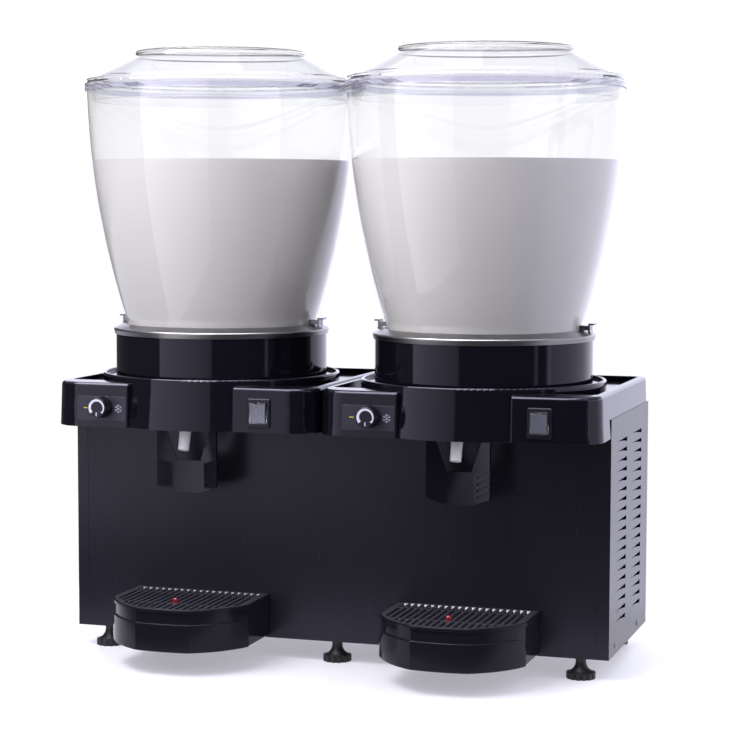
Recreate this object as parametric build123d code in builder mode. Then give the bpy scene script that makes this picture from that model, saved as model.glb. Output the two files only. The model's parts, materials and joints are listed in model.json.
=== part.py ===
from build123d import *
import os
from math import atan2, cos, radians, sin, tan

# A counter-top cold drink dispenser with two clear bowls over one sheet-metal cabinet.
# Millimetres, +Z up from the bench, the front faces -Y, X runs to the right seen from the front.
# The origin lies under the middle of the whole dispenser.
# A unit is one bowl with all that belongs to it. Its pieces are drawn about the bowl's own axis
# and then placed at each of the two bowl axes.

# Fits
slide_gap = 0.3
seat_gap = 0.05
pin_gap = 0.05
hole_gap = 0.15

# Cabinet
unit_pitch = 300.0
cabinet_depth = 214.0
pan_height = 22.8
panel_height = 250.2
sheet = 1.0
return_width = 12.4
rear_return = 9.2
pan_flange = 15.0

# Louvres, pressed inwards
louvre_pitch = 10.54
louvre_count = 19
louvre_opening = 5.0
louvre_depth = 3.2
louvre_front_margin = 26.8
louvre_rear_margin = 40.6
louvre_column_gap = 24.6
louvre_lowest = 34.3
vent_rows = 12

# Feet
foot_radius = 15.3
foot_base_height = 6.5
foot_neck_radius = 5.8
foot_stud_radius = 4.0
foot_stud_length = 20.0
foot_neck_height = 3.0
foot_cone_radius = 12.0
foot_inset_x = 32.0
foot_inset_front = 13.8
foot_inset_rear = 18.0
flute_count = 14
flute_radius = 1.6

# Screws
screw_radius = 2.0
screw_head_radius = 4.0
screw_head_height = 1.4
screw_head_taper = 40.0
screw_length = 8.0
screw_height = 8.2
screw_front_setback = 36.9
screw_spacing = 126.7

# Bowl and its seat
axis_setback = 56.3
neck_radius = 104.5
neck_height = 10.0
bowl_wall = 2.6
bowl_height = 264.3
bowl_mouth_radius = 146.9
bowl_side_radius = 915.0

# Lid
lid_wall = 2.4
lid_rim_wall = 1.8
lid_disc_radius = 93.5
lid_disc_height = 5.0
lid_height = 38.3
lid_cone_drop = 26.0
lid_rim_drop = 5.6
lid_step = 2.4
lid_skirt_gap = 2.9
lid_skirt_drop = 16.0
lid_notch_count = 8
lid_notch_width = 4.0

# Cooling tub
tub_sheet = 1.2
neck_clearance = 1.0
ledge_step = 6.0
ledge_depth = 8.0
rim_span = 13.6
rim_side = 6.0
rim_slope = 5.0
rim_lean = 1.4
rim_round = 2.2
tub_depth = 53.0
tub_floor_round = 7.0
post_radius = 15.0
post_height = 32.0
jacket_thickness = 2.4
jacket_margin = 10.0
seal_thickness = 2.5
outlet_radius = 4.0

# Drum cover
drum_height = 49.4
drum_wall = 2.4
rim_overhang = 2.7

# Deck
deck_rise = 28.0
skirt_drop = 19.5
deck_wall = 2.6
deck_draft = 2.0
deck_gap = 0.8
deck_edge_round = 4.5
deck_rear_corner = 8.0
console_reach = 67.0
console_corner = 32.0
console_top_depth = 34.0
console_inner = 59.0
console_step = 12.0
console_inner_round = 2.4
deck_rim_width = 9.0
deck_rim_height = 7.0
lip_width = 14.2
lip_rise = 6.5
lip_depth = 7.2
lip_bead = 3.8
channel_depth = 4.6
apron_flare = 4.0
apron_sweep = 120.0
drum_ledge = 4.0

# Thermostat knob
knob_offset = 88.6
knob_above_panel = 2.0
knob_base_radius = 11.5
knob_taper = 3.0
knob_length = 16.0
knob_edge_round = 1.2
shaft_radius = 3.0
shaft_reach = 9.0
thermostat_width = 36.0
thermostat_height = 28.0
thermostat_depth = 24.0

# Double rocker switch
switch_offset = 89.8
switch_above_panel = 1.0
bezel_width = 25.5
bezel_height = 31.0
bezel_thickness = 2.4
bezel_corner = 2.0
window_width = 17.2
window_height = 20.8
switch_depth = 20.0
rocker_tilt = 9.0
rocker_depth = 4.2
rocker_proud = 1.0
rocker_valley = 0.9
rocker_pivot_depth = 2.6
rocker_room = 4.2
rocker_pin_radius = 1.0
boot_wall = 1.1
boot_rise = 4.4
boot_corner = 3.0

# Tap
spout_lean = 17.0
spout_reach = 55.8
spout_drop = 42.2
spout_radius = 6.3
spout_tip_radius = 5.8
spout_bore = 4.0
tap_width = 36.0
tap_height = 30.0
tap_front = 61.7
tap_back = 13.0
tap_inlet_setback = 23.7
spigot_radius = 7.0

# Tap lever
lever_reach = 41.0
lever_thickness = 2.6
plate_half_width = 14.3
plate_height = 35.3
lever_half_width = 34.0
wing_angle = 19.0
wing_rise = 8.0
arm_inner = 25.0
lever_pivot_drop = 11.0
lever_pivot_reach = 46.2
lever_boss_radius = 5.0
lever_hang = 79.0
lever_pin_radius = 2.0
groove_count = 4
groove_width = 2.4
groove_depth = 1.2

# Drip tray
tray_half_width = 78.6
tray_reach = 119.5
tray_front_half = 30.0
tray_front_bow = 2.5
tray_side = 65.0
tray_flank_radius = 99.0
tray_bottom = 25.5
tray_height = 45.5
tray_wall = 2.4
tray_step = 1.8
tray_band_height = 30.0
tray_band_round = 16.0
tray_band_edge = 1.2
tray_rim_height = 3.6
tray_foot_round = 1.6
tray_rim_round = 1.0
tongue_width = 20.0
tongue_thickness = 3.0
tongue_length = 9.0
tongue_spread = 90.0
tongue_height = 26.0

# Drip grille and float
grille_thickness = 3.4
grille_frame = 4.0
slot_pitch = 7.4
slot_width = 4.2
grille_rib = 2.4
grille_rib_setback = 52.0
grille_rib_pitch = 56.0
float_reach = 79.3
float_collar = 6.6
float_stem_radius = 3.2
float_disc_radius = 12.0
float_disc_height = 6.0
float_proud = 2.6

# Agitator and its motor
agitator_wall = 3.0
agitator_gap = 0.8
paddle_thickness = 3.0
paddle_gap = 9.0
paddle_height = 40.0
paddle_foot_gap = 4.0
motor_radius = 32.0
motor_height = 34.0
motor_plate_radius = 44.0
motor_plate = 3.0
magnet_gap = 1.0

# Bowl clips
clip_width = 14.0
clip_gap = 0.6
clip_nose = 9.4
clip_nose_height = 5.0
clip_web = 1.8
clip_height = 7.4
clip_tab = 4.2
clip_foot_radius = 1.4

# Cooling machinery
compressor_radius = 62.0
compressor_height = 150.0
compressor_round = 24.0
compressor_plate = 4.0
compressor_shift = 12.0
compressor_foot_pitch = 92.0
compressor_foot_radius = 9.0
compressor_foot_height = 12.0
condenser_thickness = 44.0
condenser_width = 150.0
condenser_height = 150.0
condenser_inset = 20.0
fin_count = 12
fin_gap = 6.0
fin_depth = 14.0
fan_radius = 62.0
fan_hub_radius = 18.0
fan_depth = 20.0
fan_blade_count = 5
fan_blade_thickness = 2.4
fan_blade_pitch = 35.0
fan_gap = 5.0
fan_shaft_radius = 3.0
fan_motor_radius = 26.0
fan_motor_length = 34.0
fan_bracket = 3.0
pipe_radius = 4.0
pipe_bend = 16.0
pipe_above_compressor = 20.0
pipe_spread = 20.0
pipe_setback = 60.0
pipe_link_offset = 40.0
cord_hole_radius = 6.0
cord_hole_rise = 40.0

# Worked-out heights
pan_bottom = pan_height + sheet
panel_top = pan_height + panel_height
deck_top = panel_top + deck_rise
skirt_bottom = panel_top - skirt_drop
deck_floor = deck_top - deck_rim_height
lip_top = deck_top + lip_rise
drum_bottom = lip_top - lip_depth
drum_top = drum_bottom + drum_height
rim_shoulder = drum_top + rim_side
rim_crest = rim_shoulder + rim_slope
ledge_top = rim_crest - ledge_depth
tub_floor = ledge_top - tub_depth
tub_under = tub_floor - tub_sheet
post_top = tub_floor + post_height
seal_top = ledge_top + seal_thickness
bowl_bottom = seal_top + seat_gap
bowl_top = bowl_bottom + bowl_height
lid_seat = bowl_top + seat_gap
lid_top = lid_seat + lid_height
knob_height = panel_top + knob_above_panel
switch_height = panel_top + switch_above_panel
spout_tip_height = panel_top - spout_drop
tap_bottom = skirt_bottom + seat_gap
tap_top = tap_bottom + tap_height
lever_pivot_height = panel_top - lever_pivot_drop
plate_bottom = lever_pivot_height - lever_hang
plate_top = plate_bottom + plate_height
tray_top = tray_bottom + tray_height
grille_bottom = tray_top - grille_thickness
grille_top = tray_top - seat_gap

# Worked-out radii
mouth_radius = neck_radius + neck_clearance
tub_radius = neck_radius - bowl_wall - ledge_step
rim_radius = mouth_radius + rim_span
drum_radius = rim_radius - rim_overhang
lip_radius = drum_radius + slide_gap + lip_width
apron_radius = lip_radius + apron_flare
deck_hole_radius = drum_radius - drum_wall - drum_ledge

# Worked-out louvre columns
louvre_length = (cabinet_depth - louvre_front_margin - louvre_rear_margin - louvre_column_gap) / 2
louvre_column_pitch = louvre_length + louvre_column_gap

# Worked-out places. The panel face and the rear are counted from the bowl's axis
front_y = (tray_reach - cabinet_depth) / 2
axis_y = front_y + axis_setback
unit_axes = {"left": -unit_pitch / 2, "right": unit_pitch / 2}
unit_points = [(axis_x, axis_y) for axis_x in unit_axes.values()]
panel_face = -axis_setback
unit_rear = panel_face + cabinet_depth
deck_half = (unit_pitch - deck_gap) / 2
console_face = panel_face - console_reach
tap_inlet_y = panel_face - tap_inlet_setback
lever_pivot_y = panel_face - lever_pivot_reach
spout_tip_y = panel_face - spout_reach
cabinet_half = unit_pitch
rear_y = front_y + cabinet_depth

os.makedirs("parts", exist_ok=True)


def write_node(part, node):
    """Label one finished piece and write it."""
    part.label = node
    export_step(part, f"parts/{node}.step")


def write_unit_pair(part, name):
    """Write a unit's piece twice, once on each bowl axis."""
    for side, axis_x in unit_axes.items():
        write_node(part.moved(Location((axis_x, axis_y, 0))), f"{name}_{side}")


def console_plane(offset_x, height):
    """The plane of the drafted console face at one place, looking out of the face."""
    draft = radians(deck_draft)
    face_y = console_face + (height - skirt_bottom) * tan(draft)
    return Plane(origin=(offset_x, face_y, height), x_dir=(1, 0, 0), z_dir=(0, -cos(draft), sin(draft)))


def spout_axis_y(height):
    """Where the leaning spout's axis passes at one height."""
    return spout_tip_y + (height - spout_tip_height) * tan(radians(spout_lean))


def tray_outline():
    """The drip tray's plan: straight sides, bowed flanks and a gently bowed front."""
    back = panel_face - slide_gap
    side_end = panel_face - tray_side
    corner = panel_face - tray_reach + tray_front_bow
    with BuildSketch() as plan:
        with BuildLine():
            Line((-tray_half_width, side_end), (-tray_half_width, back))
            Line((-tray_half_width, back), (tray_half_width, back))
            Line((tray_half_width, back), (tray_half_width, side_end))
            RadiusArc((tray_half_width, side_end), (tray_front_half, corner), tray_flank_radius)
            ThreePointArc((tray_front_half, corner), (0, panel_face - tray_reach), (-tray_front_half, corner))
            RadiusArc((-tray_front_half, corner), (-tray_half_width, side_end), tray_flank_radius)
        make_face()
    return plan.sketch


# Lid: raised disc, cone, stepped rim that grips the bowl's edge, and a plug skirt inside it
def lid_cone_height(radius):
    """Height of the lid's cone at one radius."""
    run = bowl_mouth_radius - lid_disc_radius
    return lid_top - lid_disc_height - lid_cone_drop * (radius - lid_disc_radius) / run


lid_inner_rim = bowl_mouth_radius + slide_gap + hole_gap
lid_rim_radius = lid_inner_rim + lid_rim_wall
lid_skirt_radius = bowl_mouth_radius - bowl_wall - lid_skirt_gap
lid_under = lid_wall * 1.12
lid_rim_top = lid_seat + lid_step
with BuildPart() as lid:
    with BuildSketch(Plane.XZ):
        with BuildLine():
            Polyline(
                (0, lid_top),
                (lid_disc_radius, lid_top),
                (lid_disc_radius, lid_top - lid_disc_height),
                (bowl_mouth_radius, lid_cone_height(bowl_mouth_radius)),
                (bowl_mouth_radius, lid_rim_top + lid_step),
                (lid_rim_radius, lid_rim_top),
                (lid_rim_radius, lid_seat - lid_rim_drop),
                (lid_inner_rim, lid_seat - lid_rim_drop),
                (lid_inner_rim, lid_seat),
                (lid_skirt_radius, lid_seat),
                (lid_skirt_radius, lid_seat - lid_skirt_drop),
                (lid_skirt_radius - lid_wall, lid_seat - lid_skirt_drop),
                (lid_skirt_radius - lid_wall, lid_cone_height(lid_skirt_radius - lid_wall) - lid_under),
                (lid_disc_radius - lid_wall, lid_cone_height(lid_disc_radius - lid_wall) - lid_under),
                (lid_disc_radius - lid_wall, lid_top - lid_wall),
                (0, lid_top - lid_wall),
                close=True,
            )
        make_face()
    revolve(axis=Axis.Z)
    fillet(lid.edges().filter_by(GeomType.CIRCLE).sort_by(Axis.Z)[-1], lid_wall * 0.6)
    with BuildSketch(Plane.XY.offset(lid_rim_top)):
        with PolarLocations(lid_rim_radius, lid_notch_count, start_angle=180 / lid_notch_count):
            Rectangle(lid_rim_wall, lid_notch_width)
    extrude(amount=-lid_step / 2, mode=Mode.SUBTRACT)
write_unit_pair(lid.part, "lid")

# Bowl: a bottomless sleeve that flares from a straight neck to its mouth
neck_top = bowl_bottom + neck_height
with BuildPart() as bowl:
    with BuildSketch(Plane.XZ):
        with BuildLine():
            Line((neck_radius, bowl_bottom), (neck_radius, neck_top))
            RadiusArc((neck_radius, neck_top), (bowl_mouth_radius, bowl_top), -bowl_side_radius)
            Line((bowl_mouth_radius, bowl_top), (bowl_mouth_radius - bowl_wall, bowl_top))
            RadiusArc(
                (bowl_mouth_radius - bowl_wall, bowl_top),
                (neck_radius - bowl_wall, neck_top),
                bowl_side_radius - bowl_wall,
            )
            Line((neck_radius - bowl_wall, neck_top), (neck_radius - bowl_wall, bowl_bottom))
            Line((neck_radius - bowl_wall, bowl_bottom), (neck_radius, bowl_bottom))
        make_face()
    revolve(axis=Axis.Z)
write_unit_pair(bowl.part, "bowl")

# Bowl seals: flat rings on the ledges of the tubs
with BuildPart() as bowl_seals:
    with BuildSketch(Plane.XY.offset(ledge_top)):
        with Locations(*unit_points):
            Circle(mouth_radius - slide_gap)
            Circle(tub_radius + slide_gap, mode=Mode.SUBTRACT)
    extrude(amount=seal_thickness)
write_node(bowl_seals.part, "bowl_seals")

# Cooling tub: rolled rim, ledge for the seal, deep round well and a closed post in the middle,
# with the cooling jacket brazed round its wall
slope_under = tub_sheet * 1.1
with BuildPart() as tub:
    with BuildSketch(Plane.XZ) as tub_profile:
        with BuildLine():
            Polyline(
                (rim_radius - rim_lean, drum_top),
                (rim_radius, rim_shoulder),
                (mouth_radius + tub_sheet, rim_crest),
                (mouth_radius, rim_crest),
                (mouth_radius, ledge_top),
                (tub_radius, ledge_top),
                (tub_radius, tub_floor),
                (post_radius, tub_floor),
                (post_radius, post_top),
                (0, post_top),
                (0, post_top - tub_sheet),
                (post_radius - tub_sheet, post_top - tub_sheet),
                (post_radius - tub_sheet, tub_under),
                (tub_radius + tub_sheet, tub_under),
                (tub_radius + tub_sheet, tub_under + jacket_margin),
                (tub_radius + tub_sheet + jacket_thickness, tub_under + jacket_margin),
                (tub_radius + tub_sheet + jacket_thickness, ledge_top - jacket_margin),
                (tub_radius + tub_sheet, ledge_top - jacket_margin),
                (tub_radius + tub_sheet, ledge_top - tub_sheet),
                (mouth_radius + tub_sheet, ledge_top - tub_sheet),
                (mouth_radius + tub_sheet, rim_crest - slope_under),
                (rim_radius - tub_sheet, rim_shoulder - slope_under),
                (rim_radius - rim_lean - tub_sheet, drum_top),
                close=True,
            )
        make_face()
        corners = tub_profile.vertices()
        fillet(corners.sort_by_distance((rim_radius, rim_shoulder))[0], rim_round)
        fillet(corners.sort_by_distance((tub_radius, tub_floor))[0], tub_floor_round)
        fillet(corners.sort_by_distance((tub_radius + tub_sheet, tub_under))[0], tub_floor_round + tub_sheet)
    revolve(axis=Axis.Z)
    with Locations((0, tap_inlet_y, tub_floor)):
        Cylinder(outlet_radius, 4 * tub_sheet, mode=Mode.SUBTRACT)
write_unit_pair(tub.part, "cooling_tub")

# Tub insulation: foam sleeves between the tubs and the drum covers
foam_outer = drum_radius - drum_wall - slide_gap
foam_inner = tub_radius + tub_sheet + jacket_thickness + slide_gap
with BuildPart() as tub_insulation:
    with BuildSketch(Plane.XY.offset(drum_bottom)):
        with Locations(*unit_points):
            Circle(foam_outer)
            Circle(foam_inner, mode=Mode.SUBTRACT)
    extrude(amount=ledge_top - tub_sheet - seat_gap - drum_bottom)
write_node(tub_insulation.part, "tub_insulation")

# Drum cover: the black ring between the deck's lip and the tub's rim
with BuildPart() as drum_cover:
    with BuildSketch(Plane.XY.offset(drum_bottom)):
        Circle(drum_radius)
        Circle(drum_radius - drum_wall, mode=Mode.SUBTRACT)
    extrude(amount=drum_height)
write_unit_pair(drum_cover.part, "drum_cover")

# Agitator: a cup that turns on the tub's post, with two paddles
hub_inner = post_radius + agitator_gap
hub_outer = hub_inner + agitator_wall
hub_top = post_top + seat_gap + agitator_wall
paddle_bottom = tub_floor + paddle_foot_gap
paddle_reach = tub_radius - paddle_gap
with BuildPart() as agitator:
    with BuildSketch(Plane.XY.offset(paddle_bottom)):
        Rectangle(2 * paddle_reach, paddle_thickness)
    extrude(amount=paddle_height)
    fillet(agitator.edges().filter_by(Axis.Y), paddle_height / 3)
    with BuildSketch(Plane.XY.offset(paddle_bottom)):
        Circle(hub_outer)
    extrude(amount=hub_top - paddle_bottom)
    with BuildSketch(Plane.XY.offset(paddle_bottom)):
        Circle(hub_inner)
    extrude(amount=post_top + seat_gap - paddle_bottom, mode=Mode.SUBTRACT)
write_unit_pair(agitator.part, "agitator")

# Agitator motors: round gear motors under the tubs, with a magnet that stands in the post
with BuildPart() as agitator_motors:
    with BuildSketch(Plane.XY.offset(tub_under)):
        with Locations(*unit_points):
            Circle(motor_plate_radius)
    extrude(amount=-motor_plate)
    with BuildSketch(Plane.XY.offset(tub_under - motor_plate)):
        with Locations(*unit_points):
            Circle(motor_radius)
    extrude(amount=-motor_height)
    with BuildSketch(Plane.XY.offset(tub_under)):
        with Locations(*unit_points):
            Circle(post_radius - tub_sheet - magnet_gap)
    extrude(amount=post_top - tub_sheet - magnet_gap - tub_under)
write_node(agitator_motors.part, "agitator_motors")

# Bowl clips: a nose beside the bowl's neck, a thin web on a rolled foot and a finger tab.
# The foot lies on the tub's sloping rim, and the clip swings outwards about it
clip_inner = neck_radius + clip_gap
clip_web_inner = clip_inner + clip_nose
clip_web_outer = clip_web_inner + clip_web
clip_pivot_radius = clip_web_inner + clip_web / 2
rim_slope_run = rim_radius - mouth_radius - tub_sheet
rim_slope_angle = atan2(rim_slope, rim_slope_run)
slope_at_clip = rim_shoulder + tan(rim_slope_angle) * (rim_radius - clip_pivot_radius)
clip_pivot_height = slope_at_clip + (clip_foot_radius + slide_gap) / cos(rim_slope_angle)
clip_nose_bottom = rim_crest + slide_gap
clip_top = clip_nose_bottom + clip_height
with BuildPart() as clip:
    with BuildSketch(Plane.XZ):
        with Locations((clip_pivot_radius, clip_pivot_height)):
            Circle(clip_foot_radius)
        with BuildLine():
            Polyline(
                (clip_web_outer, clip_pivot_height),
                (clip_web_outer, clip_top - clip_web),
                (clip_web_outer + clip_tab, clip_top - clip_web),
                (clip_web_outer + clip_tab, clip_top),
                (clip_web_inner, clip_top),
                (clip_web_inner, clip_nose_bottom + clip_nose_height),
                (clip_inner, clip_nose_bottom + clip_nose_height),
                (clip_inner, clip_nose_bottom),
                (clip_web_inner, clip_nose_bottom),
                (clip_web_inner, clip_pivot_height),
                close=True,
            )
        make_face()
    extrude(amount=clip_width / 2, both=True)
    fillet(clip.edges().filter_by(Axis.Z).sort_by(Axis.X)[-2:], clip_tab / 4)
for side, axis_x in unit_axes.items():
    for turn in (0, 180):
        outwards = (axis_x > 0) == (turn == 0)
        where = "outer" if outwards else "inner"
        write_node(clip.part.moved(Location((axis_x, axis_y, 0), (0, 0, turn))), f"clip_{where}_{side}")

# Deck: one moulding for each unit, with a raised rim, a sunken floor, two boxed consoles, the lip
# with a water channel round the drum and the conical apron that bulges forward between the consoles
deck_length = unit_rear - console_face
deck_middle = (unit_rear + console_face) / 2
console_back = console_face + console_top_depth
knob_plane = console_plane(-knob_offset, knob_height)
switch_plane = console_plane(switch_offset, switch_height)
hollow_top = deck_floor - deck_wall
apron_start = radians(-90 - apron_sweep / 2)
apron_plane = Plane(
    origin=(0, 0, 0),
    x_dir=(cos(apron_start), sin(apron_start), 0),
    z_dir=(sin(apron_start), -cos(apron_start), 0),
)
with BuildPart() as deck:
    with BuildSketch(Plane.XY.offset(skirt_bottom)) as deck_plan:
        with Locations((0, deck_middle)):
            Rectangle(2 * deck_half, deck_length)
        fillet(deck_plan.vertices().group_by(Axis.Y)[0], console_corner)
        fillet(deck_plan.vertices().group_by(Axis.Y)[-1], deck_rear_corner)
    extrude(amount=deck_top - skirt_bottom, taper=deck_draft)
    fillet(deck.faces().sort_by(Axis.Z)[-1].edges(), deck_edge_round)
    with BuildSketch(Plane.XY.offset(skirt_bottom)):
        with Locations((0, console_face)):
            Rectangle(2 * console_inner, 2 * console_step)
    extrude(amount=deck_top - skirt_bottom, mode=Mode.SUBTRACT)
    for sign in (-1, 1):
        step_face = deck.faces().filter_by(Axis.X).sort_by_distance((sign * console_inner, console_face, deck_top))[0]
        step_edges = step_face.edges().sort_by(Axis.Z)
        fillet(step_edges[1:].sort_by(Axis.Y)[:-1], console_inner_round)
    with BuildSketch(Plane.XY.offset(deck_floor)) as recess:
        back_edge = unit_rear - deck_rim_width
        with Locations((0, (console_back + back_edge) / 2)):
            Rectangle(2 * (deck_half - deck_rim_width), back_edge - console_back)
        fillet(recess.vertices(), deck_rear_corner)
    extrude(amount=deck_rim_height, mode=Mode.SUBTRACT)
    with BuildSketch(apron_plane):
        with BuildLine():
            Polyline(
                (0, skirt_bottom), (apron_radius, skirt_bottom), (lip_radius, deck_floor), (0, deck_floor),
                close=True,
            )
        make_face()
    revolve(axis=Axis.Z, revolution_arc=apron_sweep)
    with BuildSketch(Plane.XY.offset(hollow_top)):
        Circle(lip_radius)
    extrude(amount=lip_top - hollow_top)
    lip_edge = deck.edges().filter_by(GeomType.CIRCLE).sort_by(Axis.Z)[-1]
    fillet(lip_edge, lip_rise / 3)
    with BuildSketch(Plane.XY.offset(skirt_bottom)) as hollow_plan:
        with Locations((0, deck_middle)):
            Rectangle(2 * (deck_half - deck_wall), deck_length - 2 * deck_wall)
        fillet(hollow_plan.vertices().group_by(Axis.Y)[0], console_corner - deck_wall)
        fillet(hollow_plan.vertices().group_by(Axis.Y)[-1], deck_rear_corner - deck_wall)
        with Locations((0, console_face)):
            Rectangle(2 * (console_inner + deck_wall), 2 * (console_step + deck_wall), mode=Mode.SUBTRACT)
    extrude(amount=hollow_top - skirt_bottom, taper=deck_draft, mode=Mode.SUBTRACT)
    with BuildSketch(apron_plane):
        with BuildLine():
            Polyline(
                (0, skirt_bottom), (apron_radius - deck_wall, skirt_bottom),
                (lip_radius - deck_wall, hollow_top), (0, hollow_top), close=True,
            )
        make_face()
    revolve(axis=Axis.Z, revolution_arc=apron_sweep, mode=Mode.SUBTRACT)
    with BuildSketch(Plane.XY.offset(hollow_top)):
        pocket_inner = console_inner + deck_wall
        pocket_outer = deck_half - console_corner
        pocket_front = console_face + 2 * deck_wall
        pocket_back = console_back - deck_wall
        for sign in (-1, 1):
            with Locations((sign * (pocket_inner + pocket_outer) / 2, (pocket_front + pocket_back) / 2)):
                Rectangle(pocket_outer - pocket_inner, pocket_back - pocket_front)
        Circle(lip_radius, mode=Mode.SUBTRACT)
    extrude(amount=deck_rim_height, mode=Mode.SUBTRACT)
    with BuildSketch(Plane.XY.offset(skirt_bottom)):
        behind = panel_face - slide_gap
        with Locations((0, (behind + unit_rear) / 2)):
            Rectangle(unit_pitch, unit_rear - behind)
    extrude(amount=skirt_drop, mode=Mode.SUBTRACT)
    with BuildSketch(Plane.XY.offset(lip_top)):
        Circle(lip_radius - lip_bead)
    extrude(amount=-channel_depth, mode=Mode.SUBTRACT)
    bead_edge = deck.edges().filter_by(GeomType.CIRCLE).group_by(Axis.Z)[-1].sort_by(SortBy.RADIUS)[0]
    fillet(bead_edge, lip_bead / 4)
    with BuildSketch(Plane.XY.offset(drum_bottom)):
        Circle(drum_radius + slide_gap)
    extrude(amount=lip_depth, mode=Mode.SUBTRACT)
    with BuildSketch(Plane.XY.offset(hollow_top)):
        Circle(deck_hole_radius)
    extrude(amount=drum_bottom - hollow_top, mode=Mode.SUBTRACT)
    with BuildSketch(knob_plane):
        Circle(shaft_radius + slide_gap)
    extrude(amount=2 * deck_wall, both=True, mode=Mode.SUBTRACT)
    with BuildSketch(switch_plane):
        Rectangle(bezel_width - 2 * bezel_corner, bezel_height - 2 * bezel_corner)
    extrude(amount=2 * deck_wall, both=True, mode=Mode.SUBTRACT)
write_unit_pair(deck.part, "deck")

# Knob: a tapered dial cap with a blind bore for the thermostat's shaft
with BuildPart() as knob:
    with BuildSketch(knob_plane.offset(slide_gap)):
        Circle(knob_base_radius)
    extrude(amount=knob_length, taper=knob_taper)
    fillet(knob.faces().sort_by(Axis.Y)[0].edges(), knob_edge_round)
    with BuildSketch(knob_plane.offset(slide_gap)):
        Circle(shaft_radius + pin_gap)
    extrude(amount=shaft_reach, mode=Mode.SUBTRACT)
write_unit_pair(knob.part, "knob")

# Thermostats: boxes behind the consoles, whose shafts carry the knobs
with BuildPart() as thermostats:
    for axis_x in unit_axes.values():
        shaft_plane = Plane(
            origin=knob_plane.origin + Vector(axis_x, axis_y, 0),
            x_dir=knob_plane.x_dir,
            z_dir=knob_plane.z_dir,
        )
        with BuildSketch(shaft_plane.offset(-deck_wall - slide_gap)):
            Rectangle(thermostat_width, thermostat_height)
        extrude(amount=-thermostat_depth)
        with BuildSketch(shaft_plane.offset(-deck_wall - slide_gap)):
            Circle(shaft_radius)
        extrude(amount=deck_wall + slide_gap + shaft_reach - seat_gap)
write_node(thermostats.part, "thermostats")

# Switch body: a bezel on the console with a housing behind it, a window and the rockers' pivot rod
housing_width = bezel_width - 2 * bezel_corner - 2 * slide_gap
housing_height = bezel_height - 2 * bezel_corner - 2 * slide_gap
window_depth = rocker_depth + rocker_room
rocker_face = bezel_thickness + rocker_proud
rocker_axis = Plane(
    origin=switch_plane.from_local_coords((0, 0, rocker_face - rocker_pivot_depth)),
    x_dir=switch_plane.y_dir,
    z_dir=switch_plane.x_dir,
)
with BuildPart() as switch_body:
    with BuildSketch(switch_plane):
        RectangleRounded(bezel_width, bezel_height, bezel_corner)
    extrude(amount=bezel_thickness)
    chamfer(switch_body.faces().sort_by(Axis.Y)[0].edges(), bezel_thickness / 3)
    with BuildSketch(switch_plane):
        Rectangle(housing_width, housing_height)
    extrude(amount=-switch_depth)
    with BuildSketch(switch_plane.offset(bezel_thickness)):
        Rectangle(window_width, window_height)
    extrude(amount=-window_depth, mode=Mode.SUBTRACT)
    with BuildSketch(rocker_axis):
        Circle(rocker_pin_radius)
    extrude(amount=window_width / 2 + bezel_corner / 2, both=True)
write_unit_pair(switch_body.part, "switch_body")

# Rockers: two side by side on the rod, each resting with its upper end out
rocker_half = window_height / 2 - 3 * slide_gap
rocker_width = window_width / 2 - 1.5 * slide_gap
rocker_tip = switch_plane.y_dir * cos(radians(rocker_tilt)) + switch_plane.z_dir * sin(radians(rocker_tilt))
for name, sign in (("rocker_a", -1), ("rocker_b", 1)):
    rocker_middle = rocker_axis.origin + switch_plane.x_dir * sign * window_width / 4
    with BuildPart() as rocker:
        with BuildSketch(Plane(origin=rocker_middle, x_dir=rocker_tip, z_dir=switch_plane.x_dir)):
            with BuildLine():
                Polyline(
                    (-rocker_half, rocker_pivot_depth),
                    (0, rocker_pivot_depth - rocker_valley),
                    (rocker_half, rocker_pivot_depth),
                    (rocker_half, rocker_pivot_depth - rocker_depth / 2),
                    (rocker_half / 3, rocker_pivot_depth - rocker_depth),
                    (-rocker_half / 3, rocker_pivot_depth - rocker_depth),
                    (-rocker_half, rocker_pivot_depth - rocker_depth / 2),
                    close=True,
                )
            make_face()
            Circle(rocker_pin_radius + pin_gap, mode=Mode.SUBTRACT)
        extrude(amount=rocker_width / 2, both=True)
    write_unit_pair(rocker.part, name)

# Switch boot: a clear domed cover over both rockers, standing on the bezel
boot_width = window_width + 2 * boot_wall
boot_height = window_height + 2 * boot_wall
with BuildPart() as switch_boot:
    with BuildSketch(switch_plane.offset(bezel_thickness)):
        RectangleRounded(boot_width, boot_height, boot_corner)
    extrude(amount=boot_rise)
    fillet(switch_boot.faces().sort_by(Axis.Y)[0].edges(), boot_wall)
    with BuildSketch(switch_plane.offset(bezel_thickness)):
        RectangleRounded(window_width, window_height, boot_wall / 2)
    extrude(amount=boot_rise - boot_wall, mode=Mode.SUBTRACT)
write_unit_pair(switch_boot.part, "switch_boot")

# Tap body: the valve block under the tub, with the spigot that carries it
tap_front_y = panel_face - tap_front
tap_back_y = panel_face - tap_back
with BuildPart() as tap_body:
    with BuildSketch(Plane.XY.offset(tap_bottom)) as tap_plan:
        with Locations((0, (tap_front_y + tap_back_y) / 2)):
            Rectangle(tap_width, tap_back_y - tap_front_y)
        fillet(tap_plan.vertices(), spigot_radius / 2)
    extrude(amount=tap_height)
    with BuildSketch(Plane.XY.offset(tap_top)):
        with Locations((0, tap_inlet_y)):
            Circle(spigot_radius)
    extrude(amount=tub_under - tap_top)
    with BuildSketch(Plane.XY.offset(tub_under)):
        with Locations((0, tap_inlet_y)):
            Circle(outlet_radius)
    extrude(amount=-(tub_under - tap_top + tap_height / 2), mode=Mode.SUBTRACT)
    with BuildSketch(Plane.YZ):
        with Locations((lever_pivot_y, lever_pivot_height)):
            Circle(lever_pin_radius + pin_gap)
    extrude(amount=tap_width, both=True, mode=Mode.SUBTRACT)
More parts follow.
